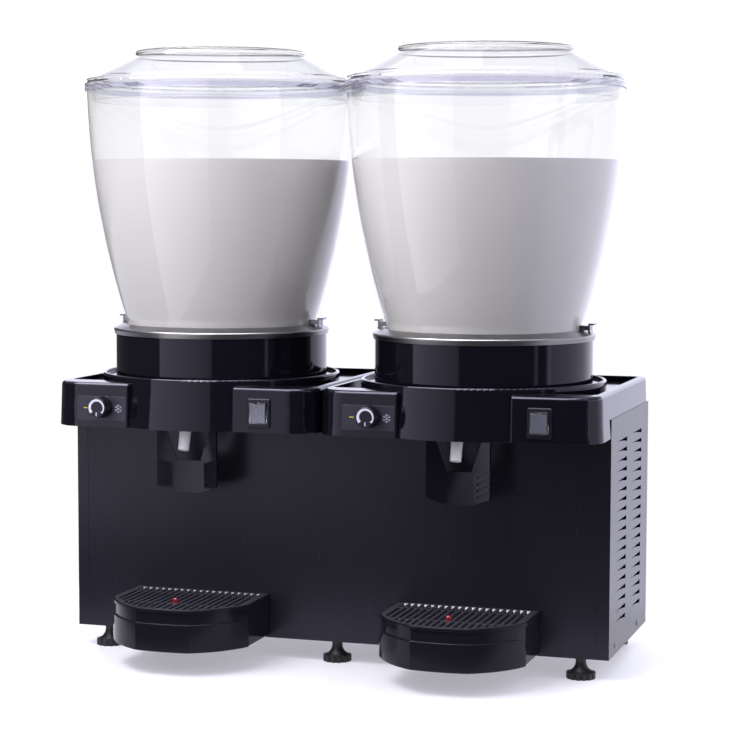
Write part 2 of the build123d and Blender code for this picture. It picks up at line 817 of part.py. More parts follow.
write_unit_pair(tap_body.part, "tap_body")

# Spout: a leaning white nozzle, cut level where it meets the tap body
spout_length = (tap_bottom - spout_tip_height) / cos(radians(spout_lean))
spout_plane = Plane(
    origin=(0, spout_tip_y, spout_tip_height),
    x_dir=(1, 0, 0),
    z_dir=(0, sin(radians(spout_lean)), cos(radians(spout_lean))),
)
with BuildPart() as spout:
    with BuildSketch(spout_plane):
        Circle(spout_tip_radius)
    with BuildSketch(spout_plane.offset(spout_length + spout_radius)):
        Circle(spout_radius)
    loft()
    with BuildSketch(spout_plane):
        Circle(spout_bore)
    extrude(amount=spout_length + spout_radius, mode=Mode.SUBTRACT)
    split(bisect_by=Plane.XY.offset(tap_bottom), keep=Keep.BOTTOM)
write_unit_pair(spout.part, "spout")

# Tap lever: a push plate behind the spout, two wings that come forward, and two arms on a pin
plate_y = panel_face - lever_reach
wing = radians(wing_angle)
wing_length = (lever_half_width - plate_half_width) / cos(wing)
arm_start = (arm_inner - plate_half_width) / cos(wing)
arm_top = lever_pivot_height + lever_boss_radius
window_top = skirt_bottom - slide_gap
wing_plane = Plane(
    origin=(plate_half_width, plate_y, 0),
    x_dir=(cos(wing), -sin(wing), 0),
    z_dir=(-sin(wing), -cos(wing), 0),
)
with BuildPart() as tap_lever:
    with BuildSketch(wing_plane):
        with BuildLine():
            Polyline(
                (-lever_thickness / 2, plate_bottom),
                (wing_length, plate_bottom + wing_rise),
                (wing_length, arm_top),
                (arm_start, arm_top),
                (arm_start, window_top),
                (-lever_thickness / 2, plate_top),
                close=True,
            )
        make_face()
    extrude(amount=-lever_thickness)
    groove_step = (plate_height - wing_rise) / groove_count
    with BuildSketch(wing_plane):
        for row in range(groove_count):
            rise = plate_bottom + wing_rise + groove_step * row
            with BuildLine():
                Polyline(
                    (wing_length / 4, rise),
                    (wing_length, rise + wing_rise * 0.75),
                    (wing_length, rise + wing_rise * 0.75 + groove_width),
                    (wing_length / 4, rise + groove_width),
                    close=True,
                )
            make_face()
    extrude(amount=-groove_depth, mode=Mode.SUBTRACT)
    with BuildSketch(Plane.YZ.offset(arm_inner - lever_thickness / 2)):
        with Locations((lever_pivot_y, lever_pivot_height)):
            Circle(lever_boss_radius)
    extrude(amount=lever_half_width - arm_inner + lever_thickness)
    mirror(about=Plane.YZ)
    with BuildSketch(Plane.XZ.offset(-plate_y)):
        with Locations((0, (plate_bottom + plate_top) / 2)):
            Rectangle(2 * plate_half_width, plate_height)
    extrude(amount=-lever_thickness)
    with BuildSketch(Plane.YZ):
        with Locations((lever_pivot_y, lever_pivot_height)):
            Circle(lever_pin_radius + pin_gap)
    extrude(amount=2 * lever_half_width, both=True, mode=Mode.SUBTRACT)
write_unit_pair(tap_lever.part, "tap_lever")

# Lever pins: one for each lever, through its arms and the tap body
with BuildPart() as lever_pins:
    for axis_x in unit_axes.values():
        with BuildSketch(Plane.YZ.offset(axis_x)):
            with Locations((axis_y + lever_pivot_y, lever_pivot_height)):
                Circle(lever_pin_radius)
        extrude(amount=lever_half_width + lever_thickness, both=True)
write_node(lever_pins.part, "lever_pins")

# Drip tray: raised lower band with rounded ends, stepped neck, rim with a ledge for the grille,
# and two tongues that slide into the front panel
outline = tray_outline()
tongue_bottom = tray_bottom + tongue_height
with BuildPart() as drip_tray:
    with BuildSketch(Plane.XY.offset(tray_bottom)):
        add(outline)
    extrude(amount=tray_band_height)
    with BuildSketch(Plane.YZ) as band_side:
        band_end = panel_face - tray_side
        band_front = panel_face - tray_reach
        with Locations(((band_end + band_front) / 2, tray_bottom + tray_band_height / 2)):
            Rectangle(band_end - band_front, tray_band_height)
        fillet(band_side.vertices().group_by(Axis.Y)[-1].sort_by(Axis.X)[-1], tray_band_round)
    extrude(amount=tray_half_width, both=True, mode=Mode.INTERSECT)
    fillet(drip_tray.faces().sort_by(Axis.Z)[-1].edges().sort_by(Axis.Y)[:-1], tray_band_edge)
    with BuildSketch(Plane.XY.offset(tray_bottom)):
        add(outline)
        offset(amount=-tray_step, kind=Kind.INTERSECTION, mode=Mode.REPLACE)
    extrude(amount=tray_height)
    with BuildSketch(Plane.XY.offset(tray_top)):
        add(outline)
    extrude(amount=-tray_rim_height)
    with BuildSketch(Plane.XY.offset(tray_bottom + tray_wall)):
        add(outline)
        offset(amount=-tray_step - tray_wall, kind=Kind.INTERSECTION, mode=Mode.REPLACE)
    extrude(amount=tray_height, mode=Mode.SUBTRACT)
    with BuildSketch(Plane.XY.offset(grille_bottom)):
        add(outline)
        offset(amount=-tray_step, kind=Kind.INTERSECTION, mode=Mode.REPLACE)
    extrude(amount=grille_thickness, mode=Mode.SUBTRACT)
    with BuildSketch(Plane.XY.offset(tongue_bottom)):
        tongue_run = tongue_length + tray_step + tray_wall
        with Locations((0, panel_face + tongue_length - tongue_run / 2)):
            with GridLocations(tongue_spread, 0, 2, 1):
                Rectangle(tongue_width, tongue_run)
    extrude(amount=tongue_thickness)
    fillet(drip_tray.faces().sort_by(Axis.Z)[0].outer_wire().edges(), tray_foot_round)
    fillet(drip_tray.faces().sort_by(Axis.Z)[-1].outer_wire().edges(), tray_rim_round)
write_unit_pair(drip_tray.part, "drip_tray")

# Drip grille: a slotted plate inside the tray's rim, with ribs below and a collar for the float
float_y = panel_face - float_reach
slot_span = 2 * (tray_half_width - tray_step - grille_frame)
slot_count = int(slot_span / slot_pitch)
with BuildSketch() as slot_field:
    with Locations((0, panel_face - tray_reach / 2)):
        with GridLocations(slot_pitch, 0, slot_count, 1):
            Rectangle(slot_width, tray_reach)
with BuildSketch() as rib_field:
    with Locations((0, panel_face - grille_rib_setback)):
        with GridLocations(0, grille_rib_pitch, 1, 2):
            Rectangle(slot_span, grille_rib)
with BuildPart() as drip_grille:
    with BuildSketch(Plane.XY.offset(grille_bottom + seat_gap)):
        add(outline)
        offset(amount=-tray_step - slide_gap, kind=Kind.INTERSECTION, mode=Mode.REPLACE)
    extrude(amount=grille_top - grille_bottom - seat_gap)
    with BuildSketch(Plane.XY.offset(grille_top)):
        add(outline)
        offset(amount=-tray_step - grille_frame, kind=Kind.INTERSECTION, mode=Mode.REPLACE)
        add(slot_field.sketch, mode=Mode.INTERSECT)
        with Locations((0, float_y)):
            Circle(float_collar, mode=Mode.SUBTRACT)
    extrude(amount=-grille_thickness, mode=Mode.SUBTRACT)
    with BuildSketch(Plane.XY.offset(grille_bottom + grille_rib)):
        add(outline)
        offset(amount=-tray_step - tray_wall - slide_gap, kind=Kind.INTERSECTION, mode=Mode.REPLACE)
        add(rib_field.sketch, mode=Mode.INTERSECT)
    extrude(amount=-2 * grille_rib)
    with BuildSketch(Plane.XY.offset(grille_top)):
        with Locations((0, float_y)):
            Circle(float_stem_radius + slide_gap)
    extrude(amount=-2 * grille_thickness, mode=Mode.SUBTRACT)
write_unit_pair(drip_grille.part, "drip_grille")

# Float: a buoyant disc in the tray, whose domed red stem shows above the grille when it fills
float_bottom = tray_bottom + tray_wall + seat_gap
with BuildPart() as float_gauge:
    with BuildSketch(Plane.XY.offset(float_bottom)):
        with Locations((0, float_y)):
            Circle(float_disc_radius)
    extrude(amount=float_disc_height)
    with BuildSketch(Plane.XY.offset(float_bottom)):
        with Locations((0, float_y)):
            Circle(float_stem_radius)
    extrude(amount=grille_top + float_proud - float_bottom)
    fillet(float_gauge.faces().sort_by(Axis.Z)[-1].edges(), float_stem_radius * 0.7)
write_unit_pair(float_gauge.part, "float")

# Side panels: wide sheet with front, top and bottom returns and two columns of pressed-in louvres
side_rear = rear_y - rear_return - slide_gap
side_inner = cabinet_half - sheet
screw_z = pan_height + screw_height
screw_points = [(front_y + screw_front_setback + screw_spacing * step, screw_z) for step in (0, 1)]
louvre_middle_y = front_y + louvre_front_margin + louvre_length + louvre_column_gap / 2
louvre_middle_z = pan_height + louvre_lowest + louvre_pitch * (louvre_count - 1) / 2
with BuildSketch() as louvre_slot:
    with BuildLine():
        Line((-louvre_length / 2, 0), (louvre_length / 2, 0))
        Line((louvre_length / 2, 0), (louvre_length / 2, -louvre_opening))
        ThreePointArc(
            (louvre_length / 2, -louvre_opening),
            (louvre_length / 6, -louvre_opening / 2),
            (-louvre_length / 2, 0),
        )
    make_face()
with BuildSketch() as leaf:
    with BuildLine():
        Polyline(
            (0, sheet),
            (0, 0),
            (-louvre_depth, -louvre_opening),
            (-louvre_depth, sheet - louvre_opening),
            close=True,
        )
    make_face()
with BuildPart() as side_panel:
    with BuildSketch(Plane.XZ.offset(-front_y)):
        with BuildLine():
            Polyline(
                (cabinet_half, pan_height),
                (cabinet_half, panel_top),
                (cabinet_half - return_width, panel_top),
                (cabinet_half - return_width, panel_top - sheet),
                (side_inner, panel_top - sheet),
                (side_inner, pan_bottom),
                (cabinet_half - return_width, pan_bottom),
                (cabinet_half - return_width, pan_height),
                close=True,
            )
        make_face()
    extrude(amount=-(side_rear - front_y))
    with BuildSketch(Plane.XZ.offset(-front_y)):
        with Locations((cabinet_half - return_width / 2, (pan_height + panel_top) / 2)):
            Rectangle(return_width, panel_height)
    extrude(amount=-sheet)
    with BuildSketch(Plane.YZ.offset(side_inner)):
        with Locations((louvre_middle_y, louvre_middle_z)):
            with GridLocations(louvre_column_pitch, louvre_pitch, 2, louvre_count):
                add(louvre_slot.sketch)
    extrude(amount=sheet, mode=Mode.SUBTRACT)
    for column in (-1, 1):
        column_y = louvre_middle_y + column * louvre_column_pitch / 2
        with BuildSketch(Plane.XZ.offset(-column_y)):
            with Locations((side_inner, louvre_middle_z)):
                with GridLocations(0, louvre_pitch, 1, louvre_count):
                    add(leaf.sketch)
        extrude(amount=louvre_length / 2, both=True)
    with BuildSketch(Plane.YZ.offset(side_inner)):
        with Locations(*screw_points):
            Circle(screw_radius + hole_gap)
    extrude(amount=sheet, mode=Mode.SUBTRACT)
write_node(side_panel.part, "side_panel_right")
write_node(mirror(side_panel.part, about=Plane.YZ), "side_panel_left")

# Front panel: flat sheet between the side panels' returns, with slots for the tray tongues
panel_half = cabinet_half - return_width - hole_gap
with BuildPart() as front_panel:
    with BuildSketch(Plane.XZ.offset(-front_y)):
        with Locations((0, (pan_height + panel_top) / 2)):
            Rectangle(2 * panel_half, panel_height)
        slot_low = tongue_bottom - pin_gap
        slot_high = tongue_bottom + tongue_thickness + slide_gap
        for axis_x in unit_axes.values():
            with Locations((axis_x, (slot_low + slot_high) / 2)):
                with GridLocations(tongue_spread, 0, 2, 1):
                    Rectangle(tongue_width + 2 * slide_gap, slot_high - slot_low, mode=Mode.SUBTRACT)
    extrude(amount=-sheet)
write_node(front_panel.part, "front_panel")

# Rear panel: sheet with side and top returns, rows of vent slots and a plain cable entry
with BuildPart() as rear_panel:
    with BuildSketch(Plane.XZ.offset(-rear_y)):
        with Locations((0, (pan_height + panel_top) / 2)):
            Rectangle(2 * cabinet_half, panel_height)
    extrude(amount=sheet)
    with BuildSketch(Plane.XZ.offset(-rear_y)):
        for sign in (-1, 1):
            with Locations((sign * (cabinet_half - sheet / 2), (pan_height + panel_top) / 2)):
                Rectangle(sheet, panel_height)
    extrude(amount=rear_return)
    with BuildSketch(Plane.XZ.offset(-rear_y)):
        with Locations((0, panel_top - sheet / 2)):
            Rectangle(2 * panel_half, sheet)
    extrude(amount=return_width)
    with BuildSketch(Plane.XZ.offset(-rear_y)):
        for axis_x in unit_axes.values():
            with Locations((axis_x, louvre_middle_z)):
                with GridLocations(louvre_column_pitch, louvre_pitch, 2, vent_rows):
                    SlotOverall(louvre_length, louvre_opening + sheet)
        with Locations((0, pan_height + cord_hole_rise)):
            Circle(cord_hole_radius)
    extrude(amount=sheet, mode=Mode.SUBTRACT)
write_node(rear_panel.part, "rear_panel")

# Base pan: a shallow tray that lies on the side panels' bottom returns and carries the feet
foot_points = [
    (foot_x, foot_y)
    for foot_x in (-cabinet_half + foot_inset_x, 0, cabinet_half - foot_inset_x)
    for foot_y in (front_y + foot_inset_front, rear_y - foot_inset_rear)
]
pan_top = pan_bottom + sheet
pan_middle_y = (front_y + rear_y) / 2
pan_depth = cabinet_depth - 2 * sheet
with BuildPart() as base_pan:
    with BuildSketch(Plane.XY.offset(pan_bottom)):
        with Locations((0, pan_middle_y)):
            Rectangle(2 * side_inner, pan_depth)
    extrude(amount=pan_flange)
    with BuildSketch(Plane.XY.offset(pan_top)):
        with Locations((0, pan_middle_y)):
            Rectangle(2 * (side_inner - sheet), pan_depth - 2 * sheet)
    extrude(amount=pan_flange, mode=Mode.SUBTRACT)
    with BuildSketch(Plane.XY.offset(pan_bottom)):
        with Locations(*foot_points):
            Circle(foot_stud_radius + pin_gap)
    extrude(amount=sheet, mode=Mode.SUBTRACT)
    with BuildSketch(Plane.YZ):
        with Locations(*screw_points):
            Circle(screw_radius + hole_gap)
    extrude(amount=cabinet_half, both=True, mode=Mode.SUBTRACT)
write_node(base_pan.part, "base_pan")

# Panel screws: domed heads on the side panels, shanks through the pan's flanges
with BuildPart() as panel_screws:
    for sign in (-1, 1):
        outwards = Plane(origin=(sign * cabinet_half, 0, 0), x_dir=(0, sign, 0), z_dir=(sign, 0, 0))
        with BuildSketch(outwards):
            for point_y, point_z in screw_points:
                with Locations((sign * point_y, point_z)):
                    Circle(screw_head_radius)
        extrude(amount=screw_head_height, taper=screw_head_taper)
        with BuildSketch(outwards):
            for point_y, point_z in screw_points:
                with Locations((sign * point_y, point_z)):
                    Circle(screw_radius)
        extrude(amount=-screw_length)
write_node(panel_screws.part, "panel_screws")

# Feet: a fluted base, a waisted cone and a stud that screws into the pan
foot_top = pan_bottom - slide_gap
with BuildPart() as foot:
    with BuildSketch():
        Circle(foot_radius)
        with PolarLocations(foot_radius, flute_count):
            Circle(flute_radius, mode=Mode.SUBTRACT)
    extrude(amount=foot_base_height)
    with BuildSketch(Plane.XZ):
        with BuildLine():
            Line((0, foot_base_height), (foot_radius - flute_radius, foot_base_height))
            RadiusArc(
                (foot_radius - flute_radius, foot_base_height),
                (foot_neck_radius, foot_top - foot_neck_height),
                foot_cone_radius,
            )
            Line((foot_neck_radius, foot_top - foot_neck_height), (foot_neck_radius, foot_top))
            Line((foot_neck_radius, foot_top), (0, foot_top))
            Line((0, foot_top), (0, foot_base_height))
        make_face()
    revolve(axis=Axis.Z)
    with BuildSketch(Plane.XY.offset(foot_top)):
        Circle(foot_stud_radius)
    extrude(amount=foot_stud_length)
for number, (foot_x, foot_y) in enumerate(foot_points, start=1):
    write_node(foot.part.moved(Location((foot_x, foot_y, 0))), f"foot_{number}")

# Compressor: a domed can on a plate with four rubber-height feet
machine_y = (front_y + rear_y) / 2
compressor_x = unit_axes["left"] - compressor_shift
can_bottom = pan_top + compressor_foot_height
can_top = can_bottom + compressor_plate + compressor_height
with BuildPart() as compressor:
    with BuildSketch(Plane.XY.offset(can_bottom)):
        with Locations((compressor_x, machine_y)):
            RectangleRounded(2 * compressor_radius, 2 * compressor_radius, compressor_round)
    extrude(amount=compressor_plate)
    with BuildSketch(Plane.XY.offset(can_bottom + compressor_plate)):
        with Locations((compressor_x, machine_y)):
            Circle(compressor_radius - compressor_plate)
    extrude(amount=compressor_height)
    fillet(compressor.faces().sort_by(Axis.Z)[-1].edges(), compressor_round)
    with BuildSketch(Plane.XY.offset(pan_top)):
        with Locations((compressor_x, machine_y)):
            with GridLocations(compressor_foot_pitch, compressor_foot_pitch, 2, 2):
                Circle(compressor_foot_radius)
    extrude(amount=compressor_foot_height)
write_node(compressor.part, "compressor")

# Condenser: a finned block behind the right louvres, standing on the pan
condenser_x = cabinet_half - condenser_inset - condenser_thickness / 2
condenser_top = pan_top + condenser_height
with BuildPart() as condenser:
    with BuildSketch(Plane.XY.offset(pan_top)):
        with Locations((condenser_x, machine_y)):
            Rectangle(condenser_thickness, condenser_width)
    extrude(amount=condenser_height)
    with BuildSketch(Plane.XZ.offset(-machine_y)):
        for sign in (-1, 1):
            with Locations((condenser_x + sign * condenser_thickness / 2, pan_top + condenser_height / 2)):
                with GridLocations(0, condenser_height / fin_count, 1, fin_count):
                    Rectangle(2 * fin_depth, fin_gap)
    extrude(amount=condenser_width / 2 - fin_depth, both=True, mode=Mode.SUBTRACT)
write_node(condenser.part, "condenser")

# Fan: a hub with pitched blades that draws air through the condenser
fan_x = condenser_x - condenser_thickness / 2 - fan_gap - fan_depth / 2
fan_z = pan_top + condenser_height / 2
fan_plane = Plane(origin=(fan_x, machine_y, fan_z), x_dir=(0, 1, 0), z_dir=(1, 0, 0))
with BuildPart() as fan:
    with BuildSketch(fan_plane.offset(-fan_depth / 2)):
        Circle(fan_hub_radius)
    extrude(amount=fan_depth)
    for number in range(fan_blade_count):
        angle = radians(360 / fan_blade_count * number)
        outward = Vector(0, cos(angle), sin(angle))
        across = Vector(0, -sin(angle), cos(angle)) * sin(radians(fan_blade_pitch))
        chord = Vector(cos(radians(fan_blade_pitch)), 0, 0) + across
        blade_root = fan_plane.origin + outward * fan_hub_radius * 0.8
        with BuildSketch(Plane(origin=blade_root, x_dir=chord, z_dir=outward)):
            Rectangle(fan_depth, fan_blade_thickness)
        extrude(amount=fan_radius - fan_hub_radius * 0.8)
    with BuildSketch(fan_plane.offset(-fan_depth / 2)):
        Circle(fan_shaft_radius + pin_gap)
    extrude(amount=fan_depth, mode=Mode.SUBTRACT)
write_node(fan.part, "fan")

# Fan motor: a round motor on an angle bracket that stands on the pan, with the fan's shaft
motor_face = -fan_depth / 2 - fan_gap
with BuildPart() as fan_motor:
    with BuildSketch(fan_plane.offset(motor_face)):
        Circle(fan_motor_radius)
    extrude(amount=-fan_motor_length)
    with BuildSketch(fan_plane.offset(motor_face)):
        Circle(fan_shaft_radius)
    extrude(amount=fan_gap + fan_depth - seat_gap)
    with BuildSketch(fan_plane.offset(motor_face - fan_motor_length)):
        with Locations((0, (fan_motor_radius + pan_top - fan_z) / 2)):
            Rectangle(2 * fan_motor_radius, fan_z - pan_top + fan_motor_radius)
    extrude(amount=-fan_bracket)
    with BuildSketch(Plane.XY.offset(pan_top)):
        with Locations((fan_x + motor_face - fan_motor_length - fan_motor_radius / 2, machine_y)):
            Rectangle(fan_motor_radius, 2 * fan_motor_radius)
    extrude(amount=fan_bracket)
write_node(fan_motor.part, "fan_motor")

# Pipework: compressor to condenser, condenser to the right tub, tub to tub and back down
pipe_z = can_top + pipe_above_compressor
tub_pipe_y = axis_y + pipe_setback
front_pipe_y = machine_y - pipe_spread
link_x = unit_axes["right"] - pipe_link_offset
tub_link_z = pipe_z + pipe_above_compressor
pipe_runs = [
    [
        (compressor_x, front_pipe_y, can_top), (compressor_x, front_pipe_y, pipe_z),
        (condenser_x, front_pipe_y, pipe_z), (condenser_x, front_pipe_y, condenser_top),
    ],
    [
        (condenser_x, tub_pipe_y, condenser_top), (condenser_x, tub_pipe_y, tub_link_z),
        (unit_axes["right"], tub_pipe_y, tub_link_z), (unit_axes["right"], tub_pipe_y, tub_under),
    ],
    [
        (link_x, tub_pipe_y, tub_under), (link_x, tub_pipe_y, tub_link_z),
        (-link_x, tub_pipe_y, tub_link_z), (-link_x, tub_pipe_y, tub_under),
    ],
]
with BuildPart() as pipework:
    for run in pipe_runs:
        with BuildLine() as path:
            FilletPolyline(*run, radius=pipe_bend)
        with BuildSketch(Plane(origin=run[0], z_dir=path.line % 0)):
            Circle(pipe_radius)
        sweep(path=path.line)
    with BuildSketch(Plane.XY.offset(can_top)):
        with Locations((unit_axes["left"], tub_pipe_y)):
            Circle(pipe_radius)
    extrude(amount=tub_under - can_top)
write_node(pipework.part, "pipework")
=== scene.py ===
"""Looks of the twin-bowl cold drink dispenser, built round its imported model, in metres."""
import json
import logging
from dataclasses import dataclass, field
from enum import StrEnum
from functools import cache
from math import atan2, cos, pi, radians, sin, sqrt, tan
from typing import Callable, Sequence

import bmesh
import bpy
from mathutils import Matrix, Vector

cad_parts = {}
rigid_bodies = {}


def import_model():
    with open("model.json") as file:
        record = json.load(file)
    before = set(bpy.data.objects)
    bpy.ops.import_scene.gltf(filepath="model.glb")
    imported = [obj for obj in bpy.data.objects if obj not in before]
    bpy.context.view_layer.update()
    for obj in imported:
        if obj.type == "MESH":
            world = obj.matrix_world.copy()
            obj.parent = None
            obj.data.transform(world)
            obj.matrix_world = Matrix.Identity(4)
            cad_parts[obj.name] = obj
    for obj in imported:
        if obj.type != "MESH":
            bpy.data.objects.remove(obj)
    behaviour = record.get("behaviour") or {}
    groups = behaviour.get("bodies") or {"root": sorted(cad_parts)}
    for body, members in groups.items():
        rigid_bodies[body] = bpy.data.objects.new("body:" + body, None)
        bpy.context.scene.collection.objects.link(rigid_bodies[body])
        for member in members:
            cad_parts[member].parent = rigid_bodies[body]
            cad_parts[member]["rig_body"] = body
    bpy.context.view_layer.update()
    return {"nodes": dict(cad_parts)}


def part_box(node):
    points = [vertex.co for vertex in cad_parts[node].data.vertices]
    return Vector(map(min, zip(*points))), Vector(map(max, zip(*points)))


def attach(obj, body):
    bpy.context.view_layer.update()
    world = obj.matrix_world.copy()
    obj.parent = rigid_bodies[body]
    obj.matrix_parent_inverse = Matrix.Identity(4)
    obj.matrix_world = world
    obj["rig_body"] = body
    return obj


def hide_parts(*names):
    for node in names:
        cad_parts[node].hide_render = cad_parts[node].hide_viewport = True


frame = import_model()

MM = 0.001

Point2 = tuple[float, float]
Point3 = tuple[float, float, float]
Colour = tuple[float, float, float]
Band = tuple[Point2, ...]
Socket = bpy.types.NodeSocket
Key = int | str
Inputs = dict[Key, object]
Shaper = Callable[[int, float, float], Point2]

log = logging.getLogger("dispenser")


class Side(StrEnum):
    """The two units, as they stand seen from the front."""

    LEFT = "left"
    RIGHT = "right"


class Graph:
    """Adds nodes to one tree and joins their sockets."""

    def __init__(self, tree: bpy.types.NodeTree) -> None:
        """Keeps the tree that the nodes go into."""
        self.tree = tree

    def add(self, kind: str, inputs: Inputs | None = None, **settings: object) -> bpy.types.Node:
        """Adds one node.

        Args:
            kind: Blender's type name of the node.
            inputs: Plain values or sockets, by input name or number.
            settings: Properties of the node itself.

        Returns:
            The new node.
        """
        node = self.tree.nodes.new(kind)
        for key, value in settings.items():
            setattr(node, key, value)
        self.feed(node, inputs or {})
        return node

    def out(self, kind: str, inputs: Inputs | None = None, output: Key = 0, **settings: object) -> Socket:
        """Adds one node as add() does, and gives one of its outputs by name or number."""
        return self.add(kind, inputs, **settings).outputs[output]

    def feed(self, node: bpy.types.Node, inputs: Inputs) -> None:
        """Gives a node its inputs.

        Args:
            node: The node.
            inputs: Plain values or sockets, by input name or number.
        """
        for key, value in inputs.items():
            if isinstance(value, bpy.types.NodeSocket):
                self.join(value, node.inputs[key])
            else:
                node.inputs[key].default_value = value

    def join(self, source: Socket, target: Socket) -> None:
        """Links an output to an input."""
        self.tree.links.new(source, target)

    def use(self, group: bpy.types.NodeTree, inputs: Inputs | None = None) -> Sequence[Socket]:
        """Adds a shader group and gives its outputs."""
        return self.add("ShaderNodeGroup", inputs, node_tree=group).outputs

    def maths(self, operation: str, *values: object) -> Socket:
        """Works on numbers with a Math node."""
        return self.out("ShaderNodeMath", dict(enumerate(values)), operation=operation)

    def vector(self, operation: str, *values: object, output: str = "Vector") -> Socket:
        """Works on vectors with a Vector Math node, whose output is a vector or a value."""
        return self.out("ShaderNodeVectorMath", dict(enumerate(values)), output, operation=operation)

    def measure(self, operation: str, *values: object) -> Socket:
        """Takes a number from vectors."""
        return self.vector(operation, *values, output="Value")

    def scaled(self, value: object, share: Socket) -> Socket:
        """Multiplies a colour or vector by a number."""
        return self.out("ShaderNodeVectorMath", {0: value, "Scale": share}, operation="SCALE")

    def parts(self, value: object) -> Sequence[Socket]:
        """Splits a vector into its three numbers."""
        return self.add("ShaderNodeSeparateXYZ", {0: value}).outputs

    def whole(self, x: object = 0.0, y: object = 0.0, z: object = 0.0) -> Socket:
        """Makes a vector of three numbers."""
        return self.out("ShaderNodeCombineXYZ", {0: x, 1: y, 2: z})

    def mixed(self, share: Socket, first: object, second: object) -> Socket:
        """Mixes two colours or vectors; a share of 1 is all of the second."""
        return self.out("ShaderNodeMix", {"Factor": share, 4: first, 5: second}, 1, data_type="VECTOR")

    def ranged(
        self,
        value: Socket,
        start: float,
        end: float,
        low: float = 0.0,
        high: float = 1.0,
        curve: str = "LINEAR",
    ) -> Socket:
        """Carries a number's range from start to end over to low and high, where it is held."""
        inputs = {0: value, 1: start, 2: end, 3: low, 4: high}
        return self.out("ShaderNodeMapRange", inputs, interpolation_type=curve)

    def place(self, stretch: Point3 | None = None) -> Socket:
        """Gives the shaded point in its object's own frame, stretched if asked."""
        spot = self.out("ShaderNodeTexCoord", output="Object")
        return self.out("ShaderNodeMapping", {"Vector": spot, "Scale": stretch}) if stretch else spot

    def noise(self, place: Socket, scale: float | Socket, detail: float, **more: float) -> Socket:
        """Gives a soft random number from 0 to 1 over a place; more is its roughness or distortion."""
        inputs = {"Vector": place, "Scale": scale, "Detail": detail}
        return self.out("ShaderNodeTexNoise", inputs | {key.title(): value for key, value in more.items()})

    def bump(self, strength: float, distance: float, height: Socket, normal: Socket | None = None) -> Socket:
        """Gives the normal of a surface with a fine relief on it."""
        inputs = {"Strength": strength, "Distance": distance, "Height": height}
        return self.out("ShaderNodeBump", inputs | ({"Normal": normal} if normal else {}))


